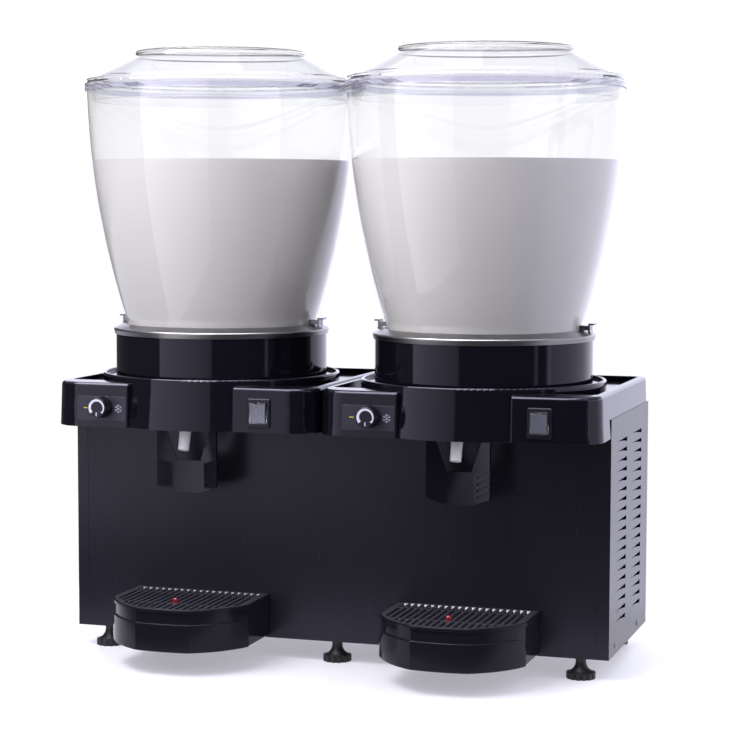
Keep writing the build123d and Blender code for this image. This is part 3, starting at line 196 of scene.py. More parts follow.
class Effect:
    """The shader groups that several finishes share, each built once."""

    NUMBER = "NodeSocketFloat"
    COLOUR = "NodeSocketColor"
    VECTOR = "NodeSocketVector"
    PATCH_SCALE = 9.0
    WIPE = (60.0, 60.0, 14.0)
    LEAST_ROUGHNESS = 0.03
    EDGE_TURN = (0.98, 0.75)
    EDGE_SAMPLES = 4
    RING_AXIS = (0.15, 0.009)
    RING_FINENESS = 2600.0
    RING_LEAN = 0.9
    RING_TURN = 1.5

    @staticmethod
    def group(
        name: str, inputs: dict[str, str], outputs: dict[str, str]
    ) -> tuple[bpy.types.NodeTree, Graph, Sequence[Socket], bpy.types.Node]:
        """Starts an empty shader group with named sockets.

        Args:
            name: The group's name.
            inputs: Socket kind by name.
            outputs: Socket kind by name.

        Returns:
            The group, its Graph, its inputs and its output node.
        """
        tree = bpy.data.node_groups.new(name, "ShaderNodeTree")
        for way, sockets in (("INPUT", inputs), ("OUTPUT", outputs)):
            for label, kind in sockets.items():
                tree.interface.new_socket(label, in_out=way, socket_type=kind)
        graph = Graph(tree)
        return tree, graph, graph.add("NodeGroupInput").outputs, graph.add("NodeGroupOutput")

    @classmethod
    @cache
    def handled(cls) -> bpy.types.NodeTree:
        """Makes the look of a moulded or painted skin: faint colour drift, wiped smudges and grain.

        Returns:
            The group.
        """
        outputs = {"Colour": cls.COLOUR, "Roughness": cls.NUMBER, "Height": cls.NUMBER}
        numbers = dict.fromkeys(("Roughness", "Drift", "Smudge", "Grain Scale"), cls.NUMBER)
        tree, graph, given, made = cls.group("Handled skin", {"Colour": cls.COLOUR} | numbers, outputs)
        patch = graph.noise(graph.place(), cls.PATCH_SCALE, 3.0)
        smear = graph.noise(graph.place(cls.WIPE), 1.0, 4.0, roughness=0.6)
        swing, rub = (graph.maths("MULTIPLY_ADD", noise, 2.0, -1.0) for noise in (patch, smear))
        share = graph.maths("MULTIPLY_ADD", swing, given["Drift"], 1.0)
        dull = graph.maths("MULTIPLY_ADD", rub, given["Smudge"], given["Roughness"])
        results = {
            "Colour": graph.scaled(given["Colour"], share),
            "Roughness": graph.maths("MAXIMUM", dull, cls.LEAST_ROUGHNESS),
            "Height": graph.noise(graph.place(), given["Grain Scale"], 2.0),
        }
        graph.feed(made, results)
        return tree

    @classmethod
    @cache
    def soft_edges(cls) -> bpy.types.NodeTree:
        """Rounds sharp edges in the shading and finds them for wear and for a painted edge highlight.

        Returns:
            The group.
        """
        outputs = {"Normal": cls.VECTOR, "Edge": cls.NUMBER}
        tree, graph, given, made = cls.group("Soft edges", {"Radius": cls.NUMBER}, outputs)
        bevel = graph.out("ShaderNodeBevel", {"Radius": given["Radius"]}, samples=cls.EDGE_SAMPLES)
        turn = graph.measure("DOT_PRODUCT", bevel, graph.out("ShaderNodeNewGeometry", output="Normal"))
        graph.feed(made, {"Normal": bevel, "Edge": graph.ranged(turn, *cls.EDGE_TURN)})
        return tree

    @classmethod
    @cache
    def turned_grain(cls) -> bpy.types.NodeTree:
        """Draws fine lines that run round the axis of either unit.

        Returns:
            The group.
        """
        tree, graph, _, made = cls.group("Turned grain", {}, {"Lines": cls.NUMBER})
        x, y, z = graph.parts(graph.place())
        across = graph.maths("SUBTRACT", graph.maths("ABSOLUTE", x), cls.RING_AXIS[0])
        along = graph.maths("SUBTRACT", y, cls.RING_AXIS[1])
        reach = graph.measure("LENGTH", graph.whole(across, along))
        ring = graph.maths("ADD", reach, graph.maths("MULTIPLY", z, cls.RING_LEAN))
        turn = graph.maths("MULTIPLY", graph.maths("ARCTAN2", along, across), cls.RING_TURN)
        line = graph.maths("MULTIPLY", ring, cls.RING_FINENESS)
        graph.feed(made, {"Lines": graph.noise(graph.whole(line, turn), 1.0, 3.0)})
        return tree


@dataclass(frozen=True)
class Finish:
    """One surface finish. Its material is made once, on first use."""

    name: str
    slot: str
    colour: Colour
    roughness: float

    def material(self) -> bpy.types.Material:
        """Makes the finish's material, or gives the one already made.

        Returns:
            The node-based material.
        """
        found = bpy.data.materials.get(self.name)
        if found:
            return found
        made = bpy.data.materials.new(self.name)
        made.use_nodes = True
        made.diffuse_color = (*self.colour, 1)
        graph = Graph(made.node_tree)
        shader = made.node_tree.nodes["Principled BSDF"]
        graph.feed(shader, {"Base Color": (*self.colour, 1), "Roughness": self.roughness})
        graph.feed(shader, self.dress(graph))
        return made

    def dress(self, graph: Graph) -> dict[str, object]:
        """Makes what this finish has beyond colour and roughness; each kind of finish has its own.

        Args:
            graph: The material's graph.

        Returns:
            The shader's inputs by name.
        """
        return {}


@dataclass(frozen=True)
class Moulded(Finish):
    """Moulded plastic or paint: drift, smudges, grain and softened edges, lightened as slight wear and as a
    painted edge highlight.

    Tops may be duller and may drain to the front, where a normal's height is past a pair of limits.
    """

    drift: float = 0.08
    smudge: float = 0.04
    grain_scale: float = 900.0
    grain: float = 0.04
    grain_depth: float = 0.0003
    edge_radius: float = 0.0006
    # How far edges are lightened in the base colour: slight wear and a painted edge highlight.
    edge_wear: float = 0.35
    gloss: float = 0.5
    shine: Colour = (1.0, 1.0, 1.0)
    metal: float = 0.0
    top_dull: float = 0.0
    top_fall: float = 0.0
    dull_above: Point2 = (0.8, 0.98)
    fall_above: Point2 = (0.97, 0.998)

    def dress(self, graph: Graph) -> dict[str, object]:
        """Makes the skin and edges from the shared groups.

        Args:
            graph: The material's graph.

        Returns:
            The shader's inputs by name.
        """
        inputs = {
            "Colour": (*self.colour, 1),
            "Roughness": self.roughness,
            "Drift": self.drift,
            "Smudge": self.smudge,
            "Grain Scale": self.grain_scale,
        }
        skin = graph.use(Effect.handled(), inputs)
        edges = graph.use(Effect.soft_edges(), {"Radius": self.edge_radius})
        # Edges lightened in the base colour: partly slight wear, partly a painted edge highlight.
        worn_and_lit = graph.maths("MULTIPLY_ADD", edges["Edge"], self.edge_wear, 1.0)
        dull = skin["Roughness"]
        normal = graph.bump(self.grain, self.grain_depth, skin["Height"], edges["Normal"])
        if self.top_dull:
            up = graph.parts(graph.out("ShaderNodeNewGeometry", output="Normal"))[2]
            dull = graph.maths("ADD", dull, graph.ranged(up, *self.dull_above, 0.0, self.top_dull))
            fall = graph.whole(y=graph.ranged(up, *self.fall_above, 0.0, -self.top_fall))
            normal = graph.vector("NORMALIZE", graph.vector("ADD", normal, fall))
        return {
            "Base Color": graph.scaled(skin["Colour"], worn_and_lit),
            "Roughness": dull,
            "Normal": normal,
            "Specular IOR Level": self.gloss,
            "Specular Tint": (*self.shine, 1),
            "Metallic": self.metal,
        }


@dataclass(frozen=True)
class Turned(Finish):
    """Stainless steel with fine lines round the axis of each unit."""

    lines: float = 0.14
    relief: float = 0.1
    relief_depth: float = 0.0002
    edge_radius: float = 0.0005
    shade: Point2 = (0.25, 0.88)

    def dress(self, graph: Graph) -> dict[str, object]:
        """Makes the turned grain for colour, roughness and normal.

        Args:
            graph: The material's graph.

        Returns:
            The shader's inputs by name.
        """
        grain = graph.use(Effect.turned_grain())["Lines"]
        normal = graph.use(Effect.soft_edges(), {"Radius": self.edge_radius})["Normal"]
        return {
            "Base Color": graph.scaled(self.colour, graph.maths("MULTIPLY_ADD", grain, *self.shade)),
            "Roughness": graph.maths("MULTIPLY_ADD", grain, self.lines, self.roughness - self.lines / 2),
            "Normal": graph.bump(self.relief, self.relief_depth, grain, normal),
            "Metallic": 1.0,
        }


@dataclass(frozen=True)
class Clear(Finish):
    """Clear moulded plastic with a faint ripple and hair scratches.

    A band of painted shade, darker where light would be bent through a thick rim, has its low and high edge
    and their softness in millimetres.
    """

    index: float = 1.49
    ripple: float = 0.02
    ripple_scale: float = 16.0
    ripple_depth: float = 0.001
    haze: float = 0.02
    scratch: Point3 = (900.0, 900.0, 60.0)
    # The band is painted shade: a darker tint on the lid's rim standing in for light bent through a thick
    # rim.
    band: tuple[float, ...] = ()
    band_colour: Colour = (0.82, 0.813, 0.9)

    def dress(self, graph: Graph) -> dict[str, object]:
        """Makes the plain transmission with ripple, haze and the band of painted shade.

        Args:
            graph: The material's graph.

        Returns:
            The shader's inputs by name.
        """
        hair = graph.noise(graph.place(self.scratch), 1.0, 3.0)
        wave = graph.noise(graph.place(), self.ripple_scale, 1.0)
        inputs = {
            "Transmission Weight": 1.0,
            "IOR": self.index,
            "Roughness": graph.maths("MULTIPLY_ADD", hair, self.haze, self.roughness),
            "Normal": graph.bump(self.ripple, self.ripple_depth, wave),
        }
        # Painted shade: the rim's band is mixed towards a darker colour in place of light bent through a
        # thick rim.
        if self.band:
            height = graph.parts(graph.place())[2]
            low, high, soft = (edge * MM for edge in self.band)
            over = graph.ranged(height, low - soft, low + soft)
            under = graph.ranged(height, high + soft, high - soft)
            share = graph.maths("MULTIPLY", over, under)
            inputs["Base Color"] = graph.mixed(share, self.colour, self.band_colour)
        return inputs


@dataclass(frozen=True)
class Liquid(Finish):
    """A cloudy milk-white drink with a faint swirl and little gloss."""

    swirl: float = 0.02
    swirl_scale: float = 7.0
    swirl_twist: float = 0.6
    gloss: float = 0.15

    def dress(self, graph: Graph) -> dict[str, object]:
        """Makes the swirl in the colour.

        Args:
            graph: The material's graph.

        Returns:
            The shader's inputs by name.
        """
        noise = graph.noise(graph.place(), self.swirl_scale, 4.0, distortion=self.swirl_twist)
        share = graph.maths("MULTIPLY_ADD", noise, self.swirl, 1.0 - self.swirl / 2)
        return {"Base Color": graph.scaled(self.colour, share), "Specular IOR Level": self.gloss}


class Finishes:
    """The finishes of this dispenser, by what they are on, and the cool shine that the dark ones share."""

    COOL = (0.86, 0.82, 1.0)
    GLOSS_BLACK = Moulded(
        "gloss_black_plastic", "gloss_black", (0.004, 0.0037, 0.0066), 0.06,
        smudge=0.02, grain=0.01, gloss=0.37, shine=COOL, top_dull=0.1, top_fall=0.05,
    )
    TRAY_BLACK = Moulded(
        "tray_black_plastic", "gloss_black", (0.0085, 0.008, 0.011), 0.13, grain=0.03, gloss=0.16, shine=COOL
    )
    GRILLE_BLACK = Moulded("grille_black_plastic", "gloss_black", (0.034, 0.033, 0.042), 0.4, grain=0.1)
    SLOT_BLACK = Moulded("slot_end_plastic", "gloss_black", (0.02, 0.0195, 0.024), 0.2, gloss=0.8)
    TAP_BLACK = Moulded(
        "tap_black_plastic", "tap_black", (0.004, 0.0037, 0.0062), 0.2, grain=0.05, gloss=0.4, shine=COOL
    )
    KNOB_BLACK = Moulded(
        "knob_black_plastic", "knob_black", (0.005, 0.0047, 0.0066), 0.32, grain=0.1, gloss=0.4, shine=COOL
    )
    SWITCH_BLACK = Moulded(
        "switch_black_plastic", "switch_black", (0.005, 0.0047, 0.0066), 0.36,
        grain=0.1, gloss=0.4, shine=COOL,
    )
    # The sheet's edges get the strongest painted edge highlight, along with slight wear.
    SHEET = Moulded(
        "satin_black_sheet", "cabinet_sheet", (0.0118, 0.0111, 0.0158), 0.27,
        grain_scale=2600.0, grain=0.02, smudge=0.015, edge_wear=0.8, gloss=0.32, shine=COOL,
    )
    WHITE = Moulded("white_food_plastic", "white_plastic", (0.86, 0.86, 0.88), 0.3, drift=0.03)
    RED = Moulded("red_float_plastic", "float_red", (0.2, 0.001, 0.008), 0.24)
    ROCKER = Moulded("grey_rocker_plastic", "rocker_grey", (0.17, 0.165, 0.205), 0.35)
    FOOT = Moulded("foot_black_rubber", "foot_black", (0.008, 0.008, 0.009), 0.5, grain=0.25)
    SEAL = Moulded("seal_grey_rubber", "seal_rubber", (0.3, 0.3, 0.31), 0.6, grain=0.25)
    FOAM = Moulded("insulation_foam", "foam", (0.55, 0.5, 0.4), 0.9, grain_scale=500.0, grain=0.6)
    MOTOR = Moulded("motor_grey_paint", "motor_grey", (0.16, 0.165, 0.17), 0.45, grain=0.2)
    COMPRESSOR = Moulded("compressor_black_enamel", "compressor_black", (0.01, 0.01, 0.011), 0.3, grain=0.15)
    FAN = Moulded("fan_plastic", "fan_plastic", (0.03, 0.03, 0.033), 0.45, grain=0.15)
    CLIP = Moulded(
        "polished_clip_steel", "polished_clip", (0.17, 0.17, 0.185), 0.2, metal=1.0, grain=0.03, edge_wear=0.1
    )
    SCREW = Moulded("screw_steel", "screw_steel", (0.012, 0.012, 0.014), 0.4, grain=0.1, edge_wear=0.4)
    FINS = Moulded(
        "condenser_aluminium", "condenser_metal", (0.6, 0.61, 0.62), 0.38, metal=1.0, grain=0.1, edge_wear=0.1
    )
    COPPER = Moulded(
        "pipe_copper", "pipe_copper", (0.72, 0.36, 0.22), 0.3,
        metal=1.0, grain=0.06, drift=0.15, edge_wear=0.1,
    )
    STEEL = Turned("turned_stainless", "brushed_steel", (0.25, 0.245, 0.24), 0.3)
    CLEAR = Clear("clear_bowl_plastic", "clear_plastic", (0.985, 0.987, 1.0), 0.0)
    # The lid's rim carries a band of painted shade.
    CLEAR_LID = Clear(
        "clear_lid_plastic", "clear_plastic", (0.978, 0.98, 0.996), 0.0, band=(613.5, 624.5, 0.6)
    )
    BOOT = Clear(
        "clear_boot_rubber", "clear_boot", (0.86, 0.88, 0.94), 0.05, index=1.42, ripple=0.1, haze=0.05
    )
    DRINK = Liquid("white_drink", "clear_plastic", (0.94, 0.92, 0.876), 0.4)
    FILM = Moulded(
        "label_film", "switch_black", (0.018, 0.0172, 0.027), 0.4, grain_scale=3000.0, grain=0.1, shine=COOL
    )
    WHITE_INK = Moulded("white_ink", "knob_black", (0.6, 0.6, 0.7), 0.5, drift=0.05, edge_wear=0.0)
    YELLOW_INK = Moulded("yellow_ink", "knob_black", (0.62, 0.42, 0.02), 0.5, drift=0.05, edge_wear=0.0)


def placed(name: str, data: bpy.types.ID) -> bpy.types.Object:
    """Makes an object in the scene.

    Args:
        name: Its name.
        data: What it shows.

    Returns:
        The object.
    """
    made = bpy.data.objects.new(name, data)
    bpy.context.scene.collection.objects.link(made)
    return made


def drawn(work: bmesh.types.BMesh, name: str) -> bpy.types.Mesh:
    """Makes a mesh from a drawing.

    Args:
        work: The drawing; it is used up.
        name: The mesh's name.

    Returns:
        The mesh.
    """
    mesh = bpy.data.meshes.new(name)
    work.to_mesh(mesh)
    work.free()
    return mesh


def baked(holder: bpy.types.Object, name: str) -> bpy.types.Mesh:
    """Makes a plain mesh from an object with modifiers.

    Args:
        holder: The object; it is used up, with the mesh that it holds.
        name: The plain mesh's name.

    Returns:
        The mesh.
    """
    graph = bpy.context.evaluated_depsgraph_get()
    mesh = bpy.data.meshes.new_from_object(holder.evaluated_get(graph))
    held = holder.data
    bpy.data.objects.remove(holder)
    bpy.data.meshes.remove(held)
    mesh.name = name
    return mesh


@dataclass
class Shop:
    """Makes meshes into named pieces and hands them to the frame.

    Angles are in degrees and lengths in metres; a drawing's own sizes are in millimetres.
    """

    smooth_angle: float = 32.0
    lathe_angle: float = 40.0
    plate_angle: float = 30.0
    merge: float = 2e-6
    sliver: float = 1e-6
    on_axis: float = 1e-6
    round_limit: float = 10.0
    round_reach: float = 0.03
    round_lean: float = 0.05
    round_grid: float = 20000

    def piece(self, mesh: bpy.types.Mesh, finish: Finish, body: str, nodes: Sequence[str] = ()) -> None:
        """Makes a finished piece, named as its mesh is, that rides on a body.

        Args:
            mesh: The mesh, already in place.
            finish: Its finish.
            body: The body that carries it.
            nodes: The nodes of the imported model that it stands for.
        """
        made = placed(mesh.name, mesh)
        mesh.materials.clear()
        mesh.materials.append(finish.material())
        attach(made, body)
        if nodes:
            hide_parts(*nodes)
        log.info("%s on %s: %d faces", made.name, body, len(mesh.polygons))

    def settle(self, mesh: bpy.types.Mesh, angle: float) -> bpy.types.Mesh:
        """Smooths a mesh by angle, with flat faces kept flat beside rounds.

        Args:
            mesh: The mesh; it is used up.
            angle: Edges sharper than this, in degrees, stay sharp.

        Returns:
            The smoothed mesh.
        """
        mesh.shade_smooth()
        mesh.set_sharp_from_angle(angle=radians(angle))
        holder = placed("holder", mesh)
        holder.modifiers.new("weigh", "WEIGHTED_NORMAL").keep_sharp = True
        return baked(holder, mesh.name)

    def round_true(self, mesh: bpy.types.Mesh, axis: Vector) -> None:
        """Turns the normals of surfaces of revolution exactly away from their axis.

        It must be out by round_reach, lean out by round_lean and point within round_limit of straight out.

        Args:
            mesh: The smoothed mesh, in place.
            axis: A point on the upright axis.
        """
        rings: dict[tuple[int, ...], list[float]] = {}
        found = []
        for loop, corner in zip(mesh.loops, mesh.corner_normals):
            place, normal = mesh.vertices[loop.vertex_index].co, corner.vector.copy()
            radial = Vector((place.x - axis.x, place.y - axis.y, 0))
            reach = radial.length
            flat = Vector((normal.x, normal.y, 0))
            key = None
            if reach > self.round_reach and flat.length > self.round_lean:
                if abs(flat.normalized().dot(radial / reach)) > cos(radians(self.round_limit)):
                    ring = [round(size * self.round_grid) for size in (reach, place.z)]
                    key = (*ring, round(normal.z * 2), 1 if flat.dot(radial) > 0 else -1)
                    rings.setdefault(key, []).append(normal.z)
            found.append((key, normal, radial.normalized()))
        normals = []
        for key, normal, radial in found:
            if key:
                height = sum(rings[key]) / len(rings[key])
                normal = radial * key[-1] * sqrt(max(0.0, 1 - height * height)) + Vector((0, 0, height))
            normals.append(normal)
        mesh.normals_split_custom_set(normals)

    def skin(self, node: str, finish: Finish, angle: float | None = None, axis: Vector | None = None) -> None:
        """Stands a merged, smoothed copy of a node in its place.

        Args:
            node: The node's name.
            finish: The copy's finish.
            angle: The smoothing angle in degrees, if not the usual one.
            axis: A point on the axis of the node's turned surfaces, if it has any.
        """
        source = frame["nodes"][node]
        mesh = source.data.copy()
        mesh.name = f"{node}_skin"
        if "custom_normal" in mesh.attributes:
            mesh.attributes.remove(mesh.attributes["custom_normal"])
        work = bmesh.new()
        work.from_mesh(mesh)
        bmesh.ops.remove_doubles(work, verts=work.verts, dist=self.merge)
        bmesh.ops.dissolve_degenerate(work, edges=work.edges, dist=self.sliver)
        work.to_mesh(mesh)
        work.free()
        mesh = self.settle(mesh, angle or self.smooth_angle)
        if axis:
            self.round_true(mesh, axis)
        self.piece(mesh, finish, source["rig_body"], [node])

    def lathe(
        self, name: str, profile: Sequence[Point2], axis: Vector, segments: int, shape: Shaper | None = None
    ) -> bpy.types.Mesh:
        """Turns a profile about an upright axis into a closed mesh.

        Args:
            name: The mesh's name.
            profile: Radius and height in millimetres; ends on the axis close in poles, else it is a loop.
            axis: A point on the axis, in metres.
            segments: Steps round the axis.
            shape: Takes segment, radius and height, and gives the pair to use there.

        Returns:
            The mesh.
        """
        work = bmesh.new()
        columns = []
        poles = {}
        for step in range(segments):
            turn = 2 * pi * step / segments
            column = []
            for row, (radius, height) in enumerate(profile):
                if radius < self.on_axis:
                    if row not in poles:
                        poles[row] = work.verts.new((axis.x, axis.y, height * MM))
                    column.append(poles[row])
                    continue
                if shape:
                    radius, height = shape(step, radius, height)
                place = (axis.x + radius * MM * cos(turn), axis.y + radius * MM * sin(turn), height * MM)
                column.append(work.verts.new(place))
            columns.append(column)
        rows = len(profile)
        for step in range(segments):
            here, there = columns[step], columns[(step + 1) % segments]
            for row in range(rows - 1 if poles else rows):
                above = (row + 1) % rows
                ring = list(dict.fromkeys([here[row], there[row], there[above], here[above]]))
                if len(ring) > 2:
                    work.faces.new(ring)
        bmesh.ops.recalc_face_normals(work, faces=work.faces)
        return self.settle(drawn(work, name), self.lathe_angle)

    def plate(self, name: str, outline: Sequence[Point2], place: Matrix, thickness: float) -> bpy.types.Mesh:
        """Raises a flat outline into a thin plate.

        Args:
            name: The mesh's name.
            outline: Points round the plate in millimetres, anticlockwise.
            place: The plane that it lies on, in metres.
            thickness: How far it stands proud, in millimetres.

        Returns:
            The mesh.
        """
        work = bmesh.new()
        low, high = (
            [work.verts.new(place @ Vector((x * MM, y * MM, level * MM))) for x, y in outline]
            for level in (0.0, thickness)
        )
        work.faces.new(high)
        work.faces.new(low[::-1])
        for step in range(len(outline)):
            after = (step + 1) % len(outline)
            work.faces.new((low[step], low[after], high[after], high[step]))
        bmesh.ops.recalc_face_normals(work, faces=work.faces)
        return self.settle(drawn(work, name), self.plate_angle)


def rounded(corners: Sequence[Point3], closed: bool, steps: int = 5, most: float = 0.45) -> list[Point2]:
    """Rounds the corners of a line.

    Args:
        corners: Two coordinates and a corner radius each.
        closed: Whether the line is a loop.
        steps: Parts of each rounded corner.
        most: The share of a side that a corner may take up.

    Returns:
        The points of the line.
    """
    points = []
    last = len(corners) - 1
    for index, (x, y, radius) in enumerate(corners):
        if radius == 0 or (not closed and index in (0, last)):
            points.append((x, y))
            continue
        here = Vector((x, y))
        back = Vector(corners[index - 1][:2]) - here
        ahead = Vector(corners[(index + 1) % len(corners)][:2]) - here
        cut = min(radius / tan(back.angle(ahead) / 2), most * back.length, most * ahead.length)
        start, end = here + back.normalized() * cut, here + ahead.normalized() * cut
        for step in range(steps + 1):
            share = step / steps
            points.append(tuple(start * (1 - share) ** 2 + here * 2 * share * (1 - share) + end * share**2))
    return points


def rounded_box(half_width: float, low: float, high: float, radius: float, steps: int = 5) -> list[Point2]:
    """Draws a rectangle with rounded corners, even about the upright line."""
    corners = ((-half_width, low), (half_width, low), (half_width, high), (-half_width, high))
    return rounded([(*corner, radius) for corner in corners], True, steps)


def bulge(start: Point2, end: Point2, radius: float, steps: int) -> list[Point2]:
    """Draws an arc that bulges away from the axis.

    Args:
        start: First point, radius and height.
        end: Last point.
        radius: The arc's radius.
        steps: Number of parts.

    Returns:
        The points, both ends among them.
    """
    first, last = Vector(start), Vector(end)
    chord = last - first
    outward = Vector((chord.y, -chord.x)).normalized()
    centre = (first + last) / 2 - outward * sqrt(radius**2 - chord.length_squared / 4)
    turn_a, turn_b = (atan2(point.y - centre.y, point.x - centre.x) for point in (first, last))
    turns = [turn_a + (turn_b - turn_a) * step / steps for step in range(steps + 1)]
    return [(centre.x + radius * cos(turn), centre.y + radius * sin(turn)) for turn in turns]


def axis_of(side: Side) -> Vector:
    """Gives the point on the floor under one bowl's axis."""
    low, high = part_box(f"drum_cover_{side}")
    return Vector(((low.x + high.x) / 2, (low.y + high.y) / 2, 0))


def body_of(node: str) -> str:
    """Gives the name of the body that carries a node."""
    return frame["nodes"][node]["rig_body"]


@dataclass
class UnitSet:
    """A set of pieces of one unit, whose names end in its side.

    Its sizes are in millimetres and degrees.
    """

    side: Side
    shop: Shop

    def named(self, label: str) -> str:
        """Gives this unit's name for a piece, node or body."""
        return f"{label}_{self.side}"

    def skins(self, finishes: dict[str, Finish], **angles: float) -> None:
        """Dresses nodes of this unit; some may have a smoothing angle of their own, in degrees."""
        for label, finish in finishes.items():
            self.shop.skin(self.named(label), finish, angles.get(label))


@dataclass
class BowlSet(UnitSet):
    """A clear bowl with its lid, its drink, the steel tub below and the clips that hold it.

    The drink's climb lists inset and rise; the lid's gate lists radius, depth and corner radius.
    """

    neck_radius: float = 104.5
    mouth_radius: float = 146.9
    wall: float = 2.6
    foot: float = 355.25
    neck_top: float = 365.25
    top: float = 619.55
    foot_round: float = 0.5
    mouth_round: float = 1.1
    side_radius: float = 915.0
    side_steps: int = 56
    bowl_segments: int = 224
    drink_level: float = 538.7
    drink_bite: float = 0.4
    drink_gap: float = 1.5
    drink_press: float = 0.25
    drink_climb: Band = ((0.0, 0.9), (1.2, 0.35), (3.0, 0.05), (8.0, 0.0))
    drink_segments: int = 192
    lid_seat: float = 619.6
    lid_top: float = 657.9
    lid_wall: float = 2.4
    lid_segments: int = 480
    lid_gate: tuple[Point3, ...] = (
        (0, 0.1, 0), (3.2, 0.1, 0.3), (3.8, 0.7, 0.3), (8.5, 0.7, 0.5), (9.5, 0, 0.5),
    )
    disc_radius: float = 93.5
    disc_height: float = 5.0
    cone_drop: float = 26.0
    cone_wall: float = 1.12
    rim_play: float = 0.45
    rim_wall: float = 1.8
    rim_rise: float = 2.4
    rim_drop: float = 5.6
    skirt_play: float = 2.9
    skirt_drop: float = 16.0
    notches: int = 8
    notch_depth: float = 1.2
    notch_reach: float = 0.6

    def outer(self, inset: float) -> list[Point2]:
        """Gives the bowl's side from neck to mouth, moved in by some millimetres."""
        low, high = (self.neck_radius - inset, self.neck_top), (self.mouth_radius - inset, self.top)
        return bulge(low, high, self.side_radius - inset, self.side_steps)

    def build_bowl(self) -> None:
        """Turns the sleeve with its rounded mouth."""
        outside, inside = self.outer(0), self.outer(self.wall)
        feet = (self.neck_radius - self.wall, self.neck_radius)
        corners = [(radius, self.foot, self.foot_round) for radius in feet]
        corners += [(*point, 0) for point in outside[:-1]]
        corners += [(*line[-1], self.mouth_round) for line in (outside, inside)]
        corners += [(*point, 0) for point in inside[-2::-1]]
        body = self.named("bowl")
        profile = rounded(corners, True)
        mesh = self.shop.lathe(f"{body}_shell", profile, axis_of(self.side), self.bowl_segments)
        self.shop.piece(mesh, Finishes.CLEAR, body, [body])

    def build_drink(self) -> None:
        """Turns the drink, which wets the wall and climbs it a little at its edge."""
        bite = self.wall - self.drink_bite
        level, floor = self.drink_level, self.foot + self.drink_bite
        side = [point for point in self.outer(bite) if point[1] < level - self.drink_gap]
        edge = side[-1][0] + self.drink_press
        surface = [(edge - inset, level + rise) for inset, rise in self.drink_climb]
        profile = [(0.0, floor), (self.neck_radius - bite, floor), *side, *surface, (0.0, level)]
        mesh = self.shop.lathe(self.named("drink"), profile, axis_of(self.side), self.drink_segments)
        self.shop.piece(mesh, Finishes.DRINK, self.named("bowl"))

    def cone(self, radius: float) -> float:
        """Gives the height of the lid's cone at a radius."""
        share = (radius - self.disc_radius) / (self.mouth_radius - self.disc_radius)
        return self.lid_top - self.disc_height - self.cone_drop * share

    def build_lid(self) -> None:
        """Turns the lid with its raised disc, stepped and notched rim and plug skirt."""
        top, seat = self.lid_top, self.lid_seat
        rim_in = self.mouth_radius + self.rim_play
        rim_out = rim_in + self.rim_wall
        rim_top = seat + self.rim_rise
        rim_foot = seat - self.rim_drop
        skirt = self.mouth_radius - self.wall - self.skirt_play
        bore = skirt - self.lid_wall
        under = self.lid_wall * self.cone_wall
        dome = self.disc_radius - self.lid_wall
        corners = [
            *((radius, top - depth, bend) for radius, depth, bend in self.lid_gate),
            (self.disc_radius, top, 1.6),
            (self.disc_radius, top - self.disc_height, 1.2),
            (self.mouth_radius, self.cone(self.mouth_radius), 1.0),
            (self.mouth_radius, rim_top + self.rim_rise, 0.6),
            (rim_out, rim_top, 0.8),
            (rim_out, rim_foot, 0.6),
            (rim_in, rim_foot, 0.4),
            (rim_in, seat, 0.4),
            (skirt, seat, 0.6),
            (skirt, seat - self.skirt_drop, 0.6),
            (bore, seat - self.skirt_drop, 0.6),
            (bore, self.cone(bore) - under, 1.6),
            (dome, self.cone(dome) - under, 1.6),
            (dome, top - self.lid_wall, 1.6),
            (0, top - self.lid_wall, 0),
        ]
        pitch = self.lid_segments // self.notches

        def notch(step: int, radius: float, height: float) -> Point2:
            """Sinks the rim's top edge at each notch."""
            cut = step % pitch == pitch // 2 and radius > rim_in + self.notch_reach
            return radius, min(height, rim_top - self.notch_depth) if cut else height

        body = self.named("lid")
        profile = rounded(corners, False)
        mesh = self.shop.lathe(f"{body}_shell", profile, axis_of(self.side), self.lid_segments, notch)
        self.shop.piece(mesh, Finishes.CLEAR_LID, body, [body])

    def build(self) -> None:
        """Builds and dresses the set."""
        self.build_bowl()
        self.build_drink()
        self.build_lid()
        self.skins({"cooling_tub": Finishes.STEEL, "agitator": Finishes.WHITE})
        self.skins({"clip_outer": Finishes.CLIP, "clip_inner": Finishes.CLIP})


